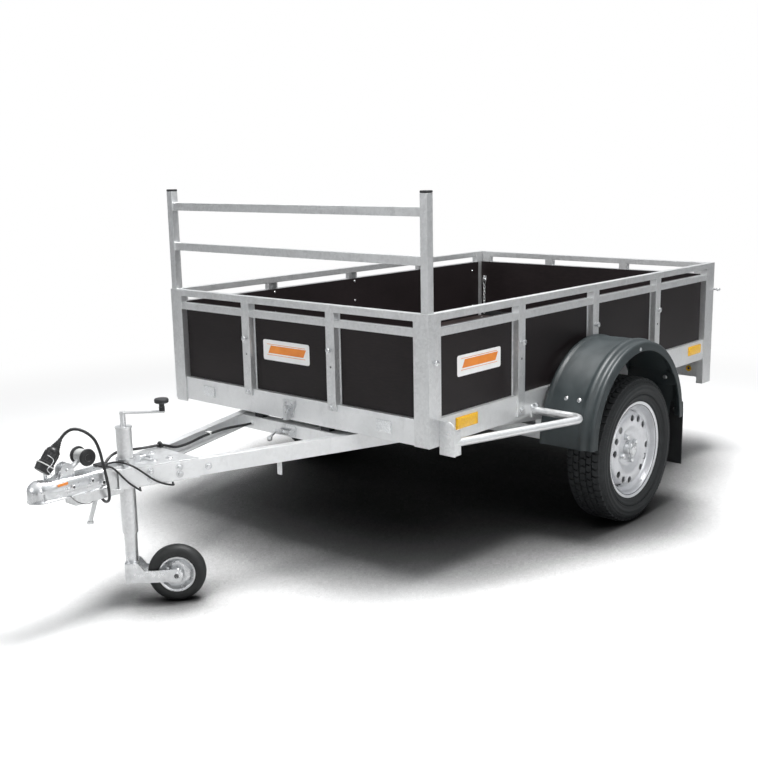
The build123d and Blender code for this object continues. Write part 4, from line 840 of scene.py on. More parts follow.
def pressed_wheel():
    """The barrel with its drop well, and the dished disc with its holes."""
    seen = [(61, 182.5), (60.5, 177), (58.5, 172), (55, 168.5), (49, 166), (40, 164.5), (34, 162)]
    seen += [(29, 158), (24, 150), (20, 145), (14, 143), (-19, 143), (-31, 160), (-56, 165)]
    seen += [(-60.5, 172), (-61, 182.5)]
    behind = [(-61 + BARREL_T, 182.5), (-56, 170), (-30, 165), (-17, 147), (15, 147), (26, 157)]
    behind += [(32, 166), (54, 170.5), (57, 176), (61 - BARREL_T, 182.5)]
    bm = bmesh.new()
    turned(bm, seen + behind, WHEEL, steps=ROUND_STEPS)
    barrel = shaped("barrel", bm, 40)
    dish = [(0, 30.5), (0, 61), (1, 66), (5, 74), (10, 82), (13, 89), (14.6, 97), (15, 108), (14.6, 124)]
    dish += [(12.5, 133), (8, 138), (-2, 142), (-10, 145)]
    face = offset(dish, DISC_OUT)
    bm = bmesh.new()
    turned(bm, face + offset(face[::-1], -DISC_T, 0.5), WHEEL, steps=ROUND_STEPS)
    holes = []
    for quarter in range(4):
        lead = VENT_TURN + QUARTER * quarter
        spots = [(VENT_RING_R, lead + QUARTER / 4 * step, VENT_R) for step in (-1, 0, 1)]
        spots += [(BOLT_RING_R, lead + QUARTER / 2, BOLT_HOLE_R), (CRESCENT_RING_R, lead, CRESCENT_R)]
        for ring_r, angle, radius in spots:
            holes.append((on_wheel(0, ring_r, angle), on_wheel(60, ring_r, angle), radius))
    disc = drilled("wheel_disc", shaped("disc", bm, 40), holes)
    bm = bmesh.new()
    bm.from_mesh(barrel)
    bm.from_mesh(disc)
    return shaped("pressed_wheel", bm, 40)


def wheel_hub():
    """The brakeless hub behind the disc and the spun cap in front of it."""
    drum = [(-45, 17.2), (-45, 46), (-43, 48), (11, 48), (11, 60), (13, 62), (25, 62), (25, 29.5)]
    cap = [(47, 29.5), (48.5, 28.6), (49.5, 26), (53, 25.4), (55.5, 24), (56, 21), (57.4, 20.4)]
    cap += [(58.6, 18), (58.8, 9), (57.6, 7.5), (57.4, 0), (49, 0), (49, 17.2)]
    bm = bmesh.new()
    turned(bm, drum + cap, WHEEL)
    return shaped("wheel_hub", bm)


def cone_bolt():
    """A wheel bolt: its cone seat and its six-sided head."""
    bm = bmesh.new()
    turned(bm, [(-6, 0), (-6, 6), (0, 11.5), (4, 11.5), (4, 0)], Vector(), UP, 24)
    turned(bm, [(3.8, 0), (3.8, 9.8), (13, 9.8), (15, 8), (16, 0)], Vector(), UP, 6)
    return shaped("cone_bolt", bm)


tread = grown(tread_pitch(), ROUND_AXLE, Count=TREAD_PITCHES, Centre=WHEEL, Finish=TYRE)
ribs = grown(shoulder_rib(), ROUND_AXLE, Count=RIB_COUNT, Centre=WHEEL, Finish=TYRE)
wheel_pieces = (
    ("tyre_carcass", tyre_carcass(), TYRE, "tyre", "road_tyre"),
    ("tyre_tread", tread, TYRE, "tyre", None),
    ("tyre_ribs", ribs, TYRE, "tyre", None),
    ("wheel_pressing", pressed_wheel(), RIM_PAINT, "wheel_silver", "road_rim"),
    ("wheel_hub", wheel_hub(), ZINC, "galvanised", "road_hub"),
)
for name, mesh, finish, slot, node in wheel_pieces:
    for hand, form in (("left", mesh), ("right", mirrored(name, mesh))):
        stands_for = (f"{node}_{hand}",) if node else ()
        piece(f"{name}_{hand}", form, finish, f"wheel_{hand}", stands_for)
for hand, side in (("left", 1), ("right", -1)):
    places = [on_wheel(DISC_OUT, BOLT_RING_R, angle) for angle in BOLT_ANGLES]
    bolts = [(Vector((side * place.x, place.y, place.z)), (side, 0, 0)) for place in places]
    set_out(f"wheel_bolts_{hand}", cone_bolt(), bolts, ZINC, f"wheel_{hand}")


# Mudguards: a moulded arch with a bead at the body, a bead and a groove by its outer edge, and a skirt
guard_x, guard_y, guard_z = span("mudguard_skirts")
BODY_SIDE = HALF_WIDTH / MM
GUARD_R = (guard_y[1] - guard_y[0]) / 2
GUARD_Y = middle(guard_y)
GUARD_Z = guard_z[1] - GUARD_R
GUARD_OUT = guard_x[1]


def mudguard():
    """Both arches, each one moulded section turned over half a circle."""
    by_body = [(0, -24), (0, -3), (2, -1), (7, -0.6), (14, -1.4), (19, -4), (26, -5), (90, -4), (148, -5)]
    lip = [(-59, -4.5), (-54, -1), (-48, 0), (-41, -0.6), (-36, -3.5), (-33, -8), (-28, -10.5), (-22, -11)]
    lip += [(-17, -9), (-12, -8), (-7, -9), (-3.5, -12.5), (-2, -18), (-2, -36), (0, -39), (-0.5, -42)]
    lip += [(-5, -42), (-5.5, -19), (-9, -13), (-25, -15), (-37, -12), (-41, -5), (-54, -5), (-60, -9)]
    under = [(26, -9), (14, -5), (4, -5), (3.5, -24)]
    section = offset(by_body, BODY_SIDE, GUARD_R) + offset(lip, GUARD_OUT, GUARD_R)
    bm = bmesh.new()
    turned(bm, section + offset(under, BODY_SIDE, GUARD_R), at(0, GUARD_Y, GUARD_Z), steps=84, sweep=180)
    both_sides(bm)
    return shaped("mudguard", bm, 44)


guard_nodes = ("mudguards", "mudguard_skirts")
piece("mudguard_mouldings", mudguard(), GUARD_PLASTIC, "bed", guard_nodes)

# The stay that carries each mudguard behind the wheel, and the guards' bolts
STAY_Y, STAY_LOW_Z, STAY_HIGH_Z = 1262, 478, 532
stay = [(BODY_SIDE - 4, STAY_LOW_Z), (GUARD_OUT - 4, STAY_LOW_Z - 3)]
stay += [(GUARD_OUT - 4, STAY_HIGH_Z - 8), (BODY_SIDE - 4, STAY_HIGH_Z)]
bm = bmesh.new()
slab(bm, stay, 4, at(0, STAY_Y, 0), LEFT, UP, 1.0)
both_sides(bm)
built("mudguard_stays", bm, GUARD_PLASTIC, "bed")


def on_crown(x, y):
    """A place on the mudguard's crown and the way that it faces there."""
    lean = math.acos((y - GUARD_Y) / GUARD_R)
    out = Vector((0, math.cos(lean), math.sin(lean)))
    return at(x, GUARD_Y, GUARD_Z) + out * (GUARD_R - 5) * MM, out


guard_bolts = []
for side in (-1, 1):
    guard_bolts += [on_crown(side * x, 664) for x in (722, 775)]
    guard_bolts.append((at(side * (GUARD_OUT - 3), 953, 661), (side, 0, 0)))
    guard_bolts.append((at(side * 821, 1310, 368), FORWARD))
    guard_bolts.append((at(side * 800, STAY_Y - 4, 504), FORWARD))
set_out("mudguard_bolts", dome_head(8.5, 2.6), guard_bolts, ZINC, "bed")


# Guard hoops: bent tube from a folded bracket at the front corner to the side beam, and its foot plate
HOOP_R, HOOP_BEND_R, HOOP_Z = 13.5, 38, 470
HOOP_LINE = (at(687.5, 52.5, HOOP_Z), at(846, 600, HOOP_Z), at(634, 600, HOOP_Z))
BRACKET_OUT = BODY_SIDE + 62
BRACKET_LOW_Z, BRACKET_HIGH_Z, BRACKET_CORNER_R = 428, 540, 26
DIMPLE_X, DIMPLE_Z, DIMPLE_R = 676, 500, 6


def guard_hoops():
    """Both bent tubes with their brackets and foot plates, and a dimple in each bracket."""
    corner = (BRACKET_OUT - BRACKET_CORNER_R, BRACKET_HIGH_Z - BRACKET_CORNER_R, BRACKET_CORNER_R)
    outline = [(BODY_SIDE, BRACKET_LOW_Z), (BRACKET_OUT, BRACKET_LOW_Z)] + arc(*corner, 0, 90)
    bm = bmesh.new()
    slab(bm, outline + [(BODY_SIDE, BRACKET_HIGH_Z)], 5, at(0, 55, 0), LEFT, UP, 1.2)
    both_sides(bm)
    dimples = []
    for x in (-DIMPLE_X, DIMPLE_X):
        dimples.append((at(x, 40, DIMPLE_Z), at(x, 62, DIMPLE_Z), DIMPLE_R))
    brackets = drilled("brackets", shaped("brackets", bm, 40), dimples)
    bm = bmesh.new()
    bent_bar(bm, rounded(HOOP_LINE, HOOP_BEND_R, 14), HOOP_R, 24)
    box(bm, (BRACKET_OUT - 5, BRACKET_OUT), (54, 84), (430, 512), 1.5)
    foot = [(578, 447), (622, 447), (622, 488), (616, 494), (584, 494), (578, 488)]
    slab(bm, foot, 4, at(BODY_SIDE - 8, 0, 0), BACKWARD, UP, 1.0)
    both_sides(bm)
    bm.from_mesh(brackets)
    return shaped("guard_hoops", bm, 40)


piece("hoop_tubes", guard_hoops(), GALVANISED, "bed", ("guard_hoops",))


# Rope knobs, bolts and screws
POST_Y = (508, 998, 1488)
POST_X = (-214, 214)
KNOB_Z, DOT_Z = 729, 671
BED_INSIDE = 605
PANEL_FRONT_Y = 37
knob = [(0, 0), (0, 8), (1.5, 8), (2, 4.5), (8, 4.2), (8.6, 9.4), (10, 10.4), (12.4, 10.2)]
knob_places = [(at(x, 0, KNOB_Z), FORWARD) for x in POST_X]
wall_bolts, foot_bolts = [], []
for side in (-1, 1):
    knob_places += [(at(side * BODY_SIDE, y, KNOB_Z), (side, 0, 0)) for y in (31,) + POST_Y]
    for y in POST_Y:
        wall_bolts += [(at(side * BED_INSIDE, y, z), (-side, 0, 0)) for z in (610, 733, 820)]
        foot_bolts.append((at(side * BODY_SIDE, y, 490), (side, 0, 0)))
    for y in (90, 1880):
        wall_bolts += [(at(side * BED_INSIDE, y, z), (-side, 0, 0)) for z in (610, 790)]
    foot_bolts += [(at(side * (BODY_SIDE - 4), y, 484), (side, 0, 0)) for y in (588, 612)]
for x in POST_X:
    wall_bolts += [(at(x, PANEL_FRONT_Y, z), BACKWARD) for z in (610, 820)]
    foot_bolts.append((at(x, 0, 531), FORWARD))
rope_knob = turning("rope_knob", knob + [(13.8, 8), (14, 0)], 28)
set_out("rope_knob_turnings", rope_knob, knob_places, ZINC, "bed", ("rope_knobs",))
set_out("wall_bolt_heads", dome_head(5.5, 2.4), wall_bolts, ZINC, "bed")
set_out("post_foot_bolts", hex_bolt(), foot_bolts, ZINC, "bed")

# Rows of floor screws along the beams and cross members
FLOOR_Z = 554
floor_screws = [(at(x, y, FLOOR_Z), UP) for y in (70, 437, 897, 1417, 1900) for x in range(-560, 561, 140)]
set_out("floor_screws", dome_head(5.5, 1.2), floor_screws, ZINC, "bed")


# Weld beads where the rack's bars and posts, the rails and the corner posts meet
WELD_PITCH = 3.2
RACK_Y, RACK_X, RACK_OUT, RACK_FOOT_Z, RACK_HALF = 18, 610, 638, 882, 14
BAR_HALF_H, BAR_HALF_T = 14, 10
weld_places = []


def weld(start, end, facing):
    """Small beads in a row from one place to another."""
    start, end = at(*start), at(*end)
    count = max(2, round((end - start).length / MM / WELD_PITCH))
    for k in range(count + 1):
        weld_places.append((start.lerp(end, k / count), facing))


for side in (-1, 1):
    x = side * (RACK_X - 0.5)
    for bar_z in (1045, 1195):
        for face in (1, -1):
            z = bar_z + face * BAR_HALF_H
            weld((x, RACK_Y - BAR_HALF_T, z), (x, RACK_Y + BAR_HALF_T, z), (0, 0, face))
        for face in (-1, 1):
            y = RACK_Y + face * BAR_HALF_T
            weld((x, y, bar_z - BAR_HALF_H), (x, y, bar_z + BAR_HALF_H), (0, face, 0))
    for x in (side * RACK_X, side * RACK_OUT):
        weld((x, RACK_Y - RACK_HALF, RACK_FOOT_Z), (x, RACK_Y + RACK_HALF, RACK_FOOT_Z), UP)
    for y in (RACK_Y - RACK_HALF, RACK_Y + RACK_HALF):
        weld((side * RACK_X, y, RACK_FOOT_Z), (side * RACK_OUT, y, RACK_FOOT_Z), UP)
    for low, high in ((858, 880), (832, 810)):
        weld((side * 580, 1.2, low), (side * 580, 1.2, high), FORWARD)
        weld((side * 640.8, 62, low), (side * 640.8, 62, high), (side, 0, 0))
    for y in (62, 1930):
        weld((side * 633.6, y, 458), (side * 633.6, y, 538), (side, 0, 0))
bead = turning("weld_bead", [(0, 0), (0, 2.6), (0.7, 2.3), (1.2, 1.4), (1.5, 0)], 10, 60)
set_out("weld_beads", bead, weld_places, GALVANISED, "bed")

# Spare rope holes under the knobs, seen as dark dots: thin dark discs painted with the shade of the holes'
# insides
dots = [(at(side * (BODY_SIDE - 0.1), y, DOT_Z), (side, 0, 0)) for side in (-1, 1) for y in POST_Y]
dots += [(at(x, 0.1, DOT_Z), FORWARD) for x in POST_X]
dot = turning("dot", [(-1, 0), (-1, 4.2), (0.1, 4.2), (0.1, 0)], 20)
set_out("post_hole_dots", dot, dots, SOFT_RUBBER, "bed")


# The rubber strip on the sill that closes the gap under the tailgate
GATE_INNER_Y = 1960
bm = bmesh.new()
box(bm, (-606, 606), (GATE_INNER_Y - 5.6, GATE_INNER_Y - 0.8), (542.3, 578), 1.5)
built("tailgate_seal", bm, SOFT_RUBBER, "bed")

# Headboard caps: a rounded lid on each tube's mouth
cap_x, cap_y, cap_z = span("headboard_caps")
cap_width = cap_y[1] - cap_y[0]
bm = bmesh.new()
box(bm, (cap_x[1] - cap_width, cap_x[1]), cap_y, cap_z, 3.2, 3)
both_sides(bm)
built("headboard_cap_lids", bm, BLACK_PLASTIC, "bed", ("headboard_caps",), sharp=50)

# Reflectors: a lens with a rounded rim, at the sides on a thin backing plate
bm = bmesh.new()
backs = bmesh.new()
for middle_y in (203, 1852):
    box(bm, (636, 640), (middle_y - 55, middle_y + 55), (492, 526), 1.8, 3)
    box(backs, (634, 637.5), (middle_y - 58, middle_y + 58), (489, 529), 0.8)
both_sides(bm)
both_sides(backs)
built("side_reflector_lenses", bm, AMBER, "bed", ("side_reflectors",), sharp=40)
built("side_reflector_backs", backs, AMBER, "bed", sharp=40)
bm = bmesh.new()
box(bm, (414, 476), (2, 8), (481, 521), 2.2, 3)
both_sides(bm)
built("front_reflector_lenses", bm, CLEAR_LENS, "bed", ("front_reflectors",), sharp=40)


# Labels: a plain white plate with slanted bands of colour
LABEL_CORNER_R, LABEL_T, BAND_T = 8, 0.5, 0.3


def label(plates, bands, place, across, length, height):
    """A label's plate and its coloured bands, standing just off the panel."""
    r = LABEL_CORNER_R
    corners = ((length - r, r, -90), (length - r, height - r, 0), (r, height - r, 90), (r, r, 180))
    outline = []
    for u, v, start in corners:
        outline += arc(u, v, r, start, start + 90, 4)
    slab(plates, outline, LABEL_T, place, across, UP)
    face = place + Vector(across).cross(Vector(UP)).normalized() * LABEL_T * MM
    shapes = [[(26, 26), (length - 30, 26), (length - 16, 54), (40, 54)]]
    for low, high in ((19, 20.6), (57.5, 59.1)):
        shapes.append([(20, low), (length - 20, low), (length - 20, high), (20, high)])
    for shape in shapes:
        slab(bands, shape, BAND_T, face, across, UP)


plates, bands = bmesh.new(), bmesh.new()
label(plates, bands, at(-148, 25, 656), LEFT, 236, 74)
label(plates, bands, at(617, 176, 656), BACKWARD, 240, 70)
label(plates, bands, at(-617, 416, 656), FORWARD, 240, 70)
built("side_labels", plates, LABEL_WHITE, "bed")
built("side_label_bands", bands, LABEL_ORANGE, "bed")


# Rear lamps: a dark housing with red, amber and clear windows, and screws
LAMP_W = 210
WINDOWS = (("red", 5, 66), ("clear", 67, 104), ("amber", 105, 143), ("red", 144, 205))
WINDOW_RIBS = (("red", 9, 62), ("clear", 70, 101), ("amber", 108, 140), ("red", 148, 205))
RIB_ROWS, RIB_PITCH, RIB_H = 9, 7.6, 3.4


def rear_lamps():
    """The lamps on both sides, as a piece for each finish and one for the screws."""
    lamp_x, lamp_y, lamp_z = span("rear_lamps")
    outer, inner = lamp_x[1], lamp_x[1] - LAMP_W
    parts = {kind: bmesh.new() for kind in ("housing", "red", "amber", "clear")}
    box(parts["housing"], (inner, outer), (lamp_y[0], lamp_y[0] + 20), lamp_z, 3.0, 3)
    window_z = (lamp_z[0] + 5, lamp_z[1] - 5)
    depth = (lamp_y[0] + 16, lamp_y[1] - 0.8)
    for colour, low, high in WINDOWS:
        box(parts[colour], (inner + low, inner + high), depth, window_z, 5.0, 4)
    for row in range(RIB_ROWS):
        rib_z = window_z[0] + 7 + RIB_PITCH * row
        for colour, low, high in WINDOW_RIBS:
            rib_x = (inner + low, inner + high)
            box(parts[colour], rib_x, (lamp_y[1] - 1, lamp_y[1]), (rib_z, rib_z + RIB_H), 0.9, 1)
    for bm in parts.values():
        both_sides(bm)
    built("rear_lamp_housings", parts["housing"], BLACK_PLASTIC, "bed", ("rear_lamps",))
    built("rear_lamp_red", parts["red"], RED_LENS, "bed", sharp=50)
    built("rear_lamp_amber", parts["amber"], AMBER, "bed", sharp=50)
    built("rear_lamp_clear", parts["clear"], CLEAR_LENS, "bed", sharp=50)
    screws = []
    for side in (-1, 1):
        for out in (12, 198):
            screws.append((at(side * (inner + out), lamp_y[1] - 2.2, middle(lamp_z)), BACKWARD))
    set_out("lamp_screws", dome_head(4.5, 2.0), screws, ZINC, "bed")


rear_lamps()


# Coupling: a pressed hood with a domed nose, flared foot flanges and a flute along each side
BALL_Y, BALL_Z, DOME_R = -991, 436, 32
HOOD_REAR_Y, HOOD_TOP_Z, SKIRT_Z = -785, 462, 405
HOOD_HALF, HOOD_T = 38, 0.004
HOOD_L = HOOD_REAR_Y - BALL_Y
DOME_RUN, CORNER_RUN = 34, 60
FLUTE_DEPTH, FLUTE_START, FLUTE_ENDS = 5.0, 16, 40


def share(value):
    """A value kept between nothing and the whole."""
    return max(0.0, min(1.0, value))


def hood_section(y):
    """Half of the hood's section at y: from the flange's edge up the side to the middle of the top."""
    back = y - BALL_Y
    if back < 0:
        half = math.sqrt(max(0.3, DOME_R ** 2 - back ** 2))
        top = BALL_Z + half
    else:
        half = DOME_R - 2 + (HOOD_HALF - DOME_R + 2) * share(back / HOOD_L)
        rise = 0.5 - 0.5 * math.cos(math.pi * share(back / DOME_RUN))
        top = BALL_Z + DOME_R + (HOOD_TOP_Z - BALL_Z - DOME_R) * rise
    round_r = min(half * 0.98, 30 - 16 * share(back / CORNER_RUN))
    flare = 1.5 if back < 0 else 4
    flute = FLUTE_DEPTH * math.sin(math.pi * share((back - FLUTE_START) / (HOOD_L - FLUTE_ENDS))) ** 0.4
    middle_z = (SKIRT_Z + top) / 2 - 4
    points = [(half + flare, SKIRT_Z), (half + flare, SKIRT_Z + 4), (half + 0.5, SKIRT_Z + 6)]
    points += [(half, middle_z - 10), (half + flute * 0.8, middle_z - 5), (half + flute, middle_z)]
    points += [(half + flute * 0.8, middle_z + 5), (half, middle_z + 10)]
    points += arc(half - round_r, top - round_r, round_r, 0, 90, 5)
    return points + [(0, top)]


def coupling_hood():
    """The hood's skin through its sections, then given its wall."""
    stations = [BALL_Y - DOME_R * math.cos(math.radians(angle)) for angle in range(2, 87, 12)]
    stations += [BALL_Y + HOOD_L * k / 22 for k in range(23)]
    bm = bmesh.new()
    rows = []
    for y in stations:
        half = hood_section(y)
        whole = half + [(-x, z) for x, z in reversed(half[:-1])]
        rows.append([bm.verts.new(at(x, y, z)) for x, z in whole])
    for first, second in zip(rows, rows[1:]):
        for k in range(len(first) - 1):
            bm.faces.new((first[k], first[k + 1], second[k + 1], second[k]))
    bm.faces.new(rows[0])
    bmesh.ops.remove_doubles(bm, verts=bm.verts, dist=0.00001)
    bmesh.ops.recalc_face_normals(bm, faces=bm.faces)
    mesh = bpy.data.meshes.new("hood")
    bm.to_mesh(mesh)
    bm.free()
    sheet = placed("sheet", mesh)
    wall = sheet.modifiers.new("wall", "SOLIDIFY")
    wall.thickness = HOOD_T
    wall.offset = -1
    bm = bmesh.new()
    bm.from_mesh(applied(sheet))
    return shaped("coupling_hood", bm, 50)


piece("coupling_pressing", coupling_hood(), ZINC, "chassis", ("coupling_head",))


# The bolts through the hood, and the lever's cheeks with their pin
LEVER_PIN_Y = -902
CHEEK_R = 23
washer = [(0, 0), (0, 9), (1.6, 9), (1.6, 0)]
nut = [(1.2, 0), (1.2, 7.6), (6.2, 7.6), (7, 6.6), (7, 0)]
bm = bmesh.new()
for y, z in ((LEVER_PIN_Y, 436), (-838, 441), (-802, 426)):
    round_bar(bm, at(-46, y, z), at(46, y, z), 4.5)
    for side in (-1, 1):
        seat = at(side * (HOOD_HALF + 1), y, z)
        turned(bm, washer, seat, (side, 0, 0), 24)
        turned(bm, nut, seat, (side, 0, 0), 6)
cheek = arc(LEVER_PIN_Y, 480, CHEEK_R, -20, 200, 14) + [(-930, 462), (-874, 462)]
for x in (-15, 12):
    slab(bm, cheek, 3, at(x, 0, 0), BACKWARD, UP, 0.8)
round_bar(bm, at(-19, LEVER_PIN_Y, 482), at(19, LEVER_PIN_Y, 482), 5)
built("coupling_fittings", bm, ZINC, "chassis", sharp=36)

# The plate that closes the neck's mouth under the coupling
bm = bmesh.new()
box(bm, (-24, 24), (-889.5, -886), (376, 452), 0.8)
built("neck_end_plate", bm, GALVANISED, "chassis")

# The coupling's lever and its grip
GRIP_Y, GRIP_Z = -838, 508
GRIP = at(0, GRIP_Y, GRIP_Z)
LEVER_LINE = (at(0, -915, 466), at(0, -898, 474), at(0, -872, 487), GRIP)
bm = bmesh.new()
bent_bar(bm, eased(LEVER_LINE), 7.5, 16)
built("coupling_lever", bm, ZINC, "chassis", ("coupling_handle",), sharp=50)
barrel = [(-23, 0), (-23, 18), (-20, 20), (-12, 20.8), (12, 20.8), (20, 20), (23, 18), (23, 0)]
bm = bmesh.new()
turned(bm, barrel, GRIP, steps=48)
built("grip_barrel", bm, GREY_PLASTIC, "chassis", ("coupling_grip",))
ring = [(20, 14), (20, 22), (22, 25.6), (26, 26.4), (30, 25), (32, 22), (32, 12), (28.5, 9), (28.5, 0)]
bm = bmesh.new()
for side in (-1, 1):
    turned(bm, ring + [(23, 0), (23, 14)], GRIP, (side, 0, 0), 48)
built("grip_rings", bm, BLACK_PLASTIC, "chassis")

# Label on the coupling's side
bm = bmesh.new()
slab(bm, [(-948, 445), (-915, 446), (-915, 454), (-948, 453)], LABEL_T, at(35.6, 0, 0), BACKWARD, UP)
built("coupling_label", bm, LABEL_ORANGE, "chassis")


# The lighting plug: ribbed shell, lid and a long gland, parked in a dark cup with wire clips
PLUG_X = -10
PLUG_FOOT = at(PLUG_X, -956, 505)
PLUG_LEAN = math.radians(50)
PLUG_AXIS = Vector((0, math.cos(PLUG_LEAN), math.sin(PLUG_LEAN)))
PLUG_RIBS, PLUG_RIB_SWELL = 16, 0.09


def along_plug(distance, x=0.0, out=0.0):
    """A place along the plug's leaning axis, and aside from it."""
    side = Vector((0, -PLUG_AXIS.z, PLUG_AXIS.y))
    return PLUG_FOOT + (PLUG_AXIS * distance + Vector((x, 0, 0)) + side * out) * MM


def lighting_plug():
    """The plug from its foot in the cup to the end of its gland."""
    shell = [(0, 0), (0, 22.6), (2, 23.8), (8, 23.8), (9.5, 21.2), (12, 21.2), (12, 0)]
    waist = [(11, 0), (11, 20.4), (38, 20.0), (40, 18.8), (40, 0)]
    collar = [(39, 0), (39, 19.6), (41, 20.6), (47, 20.4), (52, 17), (54, 15), (54, 0)]
    gland = [(53, 0), (53, 14.6)]
    for k in range(4):
        gland += [(56 + 6 * k, 14.4 - 2 * k), (59 + 6 * k, 14.0 - 2 * k)]
        gland.append((59.4 + 6 * k, 11.4 - 1.6 * k))
    bm = bmesh.new()
    turned(bm, shell, PLUG_FOOT, PLUG_AXIS, 48)
    turned(bm, waist, PLUG_FOOT, PLUG_AXIS, 96, lobes=PLUG_RIBS, lobe=PLUG_RIB_SWELL)
    turned(bm, collar, PLUG_FOOT, PLUG_AXIS, 48)
    turned(bm, gland + [(86, 6.0), (86, 0)], PLUG_FOOT, PLUG_AXIS, 32)
    slab(bm, [(-7, -2), (7, -2), (7, 10), (-7, 10)], 3, along_plug(30, 0, 20), LEFT, PLUG_AXIS, 0.8)
    return shaped("lighting_plug", bm, 40)


plug_mesh = lighting_plug()
plug_piece = piece("lighting_plug_body", plug_mesh, BLACK_PLASTIC, "chassis", ("plug",))
cup = [(-22, 0), (-22, 22), (-20, 24), (-4, 26), (-3, 27), (1.5, 27), (1.5, 24.6), (-2, 24.6), (-2, 0)]
bm = bmesh.new()
turned(bm, cup, PLUG_FOOT, PLUG_AXIS, 48)
built("plug_cup", bm, BLACK_PLASTIC, "chassis", ("plug_holder",))
cup_ring = [(-1.5, 26), (-1.5, 27.4), (1.8, 27.4), (1.8, 23.6), (0.2, 23.6), (0.2, 26)]
bm = bmesh.new()
turned(bm, cup_ring, PLUG_FOOT, PLUG_AXIS, 48)
built("plug_cup_ring", bm, GREY_PLASTIC, "chassis")
bm = bmesh.new()
round_bar(bm, at(PLUG_X, -960, 462), at(PLUG_X, -960, 490), 5)
for side in (-1, 1):
    clip = [at(PLUG_X + side * 8, -948, 464), at(PLUG_X + side * 22, -950, 476)]
    clip += [along_plug(-12, side * 27, 4), along_plug(6, side * 26.5, 0)]
    clip += [along_plug(22, side * 25, 2), along_plug(26, side * 14, 20)]
    bent_bar(bm, eased(clip, 8), 1.3, 10)
hook = [at(14, -936, 463), at(16, -930, 480), at(6, -912, 492), at(-6, -925, 478), at(-4, -940, 464)]
bent_bar(bm, eased(hook, 8), 1.2, 10)
built("plug_wire_clips", bm, ZINC, "chassis", sharp=60)

# The thin wire under the neck, which trips the coupling's catch
trip = [at(40, -912, 410), at(38, -896, 392), at(30, -868, 374)]
trip += [at(24, -838, 368), at(22, -812, 380), at(26, -800, 400)]
bm = bmesh.new()
bent_bar(bm, eased(trip, 8), 1.1, 8)
built("trip_wire", bm, BLACK_PLASTIC, "chassis", sharp=60)


# Jockey wheel: a moulded tyre on a pressed rim that bolts through its web
JOCKEY_TUBE_Y, JOCKEY_TRAIL, JOCKEY_R = -690, 137, 91
JOCKEY_TURN = math.radians(48)
JOCKEY_AHEAD = Vector((math.cos(JOCKEY_TURN), math.sin(JOCKEY_TURN), 0))
JOCKEY_AXIS = Vector((math.sin(JOCKEY_TURN), -math.cos(JOCKEY_TURN), 0))
JOCKEY_AXLE = at(0, JOCKEY_TUBE_Y, JOCKEY_R) + JOCKEY_AHEAD * JOCKEY_TRAIL * MM
RIM_BOLTS, RIM_BOLT_R, RIM_WEB = 5, 33, 7.5
tread = [(21, 56), (23, 60), (25, 66), (24.6, 74), (22, 81), (17, 86.5), (10, 90), (3, JOCKEY_R)]
bm = bmesh.new()
turned(bm, doubled(tread), JOCKEY_AXLE, JOCKEY_AXIS, 80)
built("jockey_tyre_moulding", bm, SMALL_TYRE, "jockey_wheel", ("jockey_tyre",), sharp=50)
rim = [(25, 6.2), (25, 17), (23, 19), (14, 20), (9, 23), (7.5, 28), (7.5, 38), (10, 44), (15, 47.5)]
rim += [(20, 49), (22.5, 51.5), (24.4, 54.5), (24.2, 57), (21, 58.2), (18, 57)]
bm = bmesh.new()
turned(bm, doubled(rim), JOCKEY_AXLE, JOCKEY_AXIS, 72)
built("jockey_rim_pressing", bm, ZINC, "jockey_wheel", ("jockey_rim",), sharp=40)
rim_bolts = []
across = JOCKEY_AXIS.cross(Vector(UP))
for face in (-1, 1):
    for k in range(RIM_BOLTS):
        angle = math.tau * (k + 0.3) / RIM_BOLTS
        spot = across * math.cos(angle) + Vector(UP) * math.sin(angle)
        place = JOCKEY_AXLE + (spot * RIM_BOLT_R + JOCKEY_AXIS * RIM_WEB * face) * MM
        rim_bolts.append((place, JOCKEY_AXIS * face))
set_out("jockey_rim_bolts", hex_bolt(9, 4, 7), rim_bolts, ZINC, "jockey_wheel")
washers, ends = bmesh.new(), bmesh.new()
for face in (-1, 1):
    axis = JOCKEY_AXIS * face
    turned(washers, [(36, 7), (36, 11.5), (38.6, 11.5), (39.4, 10.8), (39.4, 7)], JOCKEY_AXLE, axis, 32)
    turned(ends, [(36, 0), (36, 6.9), (40.6, 6.9), (41, 6.4), (41, 0)], JOCKEY_AXLE, axis, 32)
built("jockey_axle_washers", washers, ZINC, "jockey_swivel")
built("jockey_axle_ends", ends, BLACK_PLASTIC, "jockey_swivel")

# The cables and their diameters in metres
cable("main_cable_sheath", MAIN_CABLE[::-1], 0.009)
cable("left_cable_upper_sheath", LEFT_CABLE_UPPER, 0.006)
cable("left_cable_lower_sheath", LEFT_CABLE_LOWER, 0.006)


# Crank knob, and the crank's screw above the tube
knob_x, knob_y, knob_z = span("jockey_knob")
SLEEVE_L = 12.8
knob = [(0, 0), (0, 8), (11, 8.5), (12, 19), (14, 21.6), (22, 22), (25, 20), (26, 15), (26, 0)]
sleeve = [(0, 8.1), (0, 8.9), (SLEEVE_L, 8.9), (SLEEVE_L, 8.1)]
bm = bmesh.new()
turned(bm, knob, at(middle(knob_x), middle(knob_y), knob_z[0]), UP, 48)
turned(bm, sleeve, at(middle(knob_x), middle(knob_y), knob_z[0] - 13), UP, 32)
built("crank_knob", bm, BLACK_PLASTIC, "chassis", ("jockey_knob",))
bm = bmesh.new()
bent_bar(bm, coil(at(0, JOCKEY_TUBE_Y, 572), (0, 0, 34), LEFT, BACKWARD, 8, 12, 20), 0.9, 6)
built("crank_thread", bm, ZINC, "chassis", sharp=60)


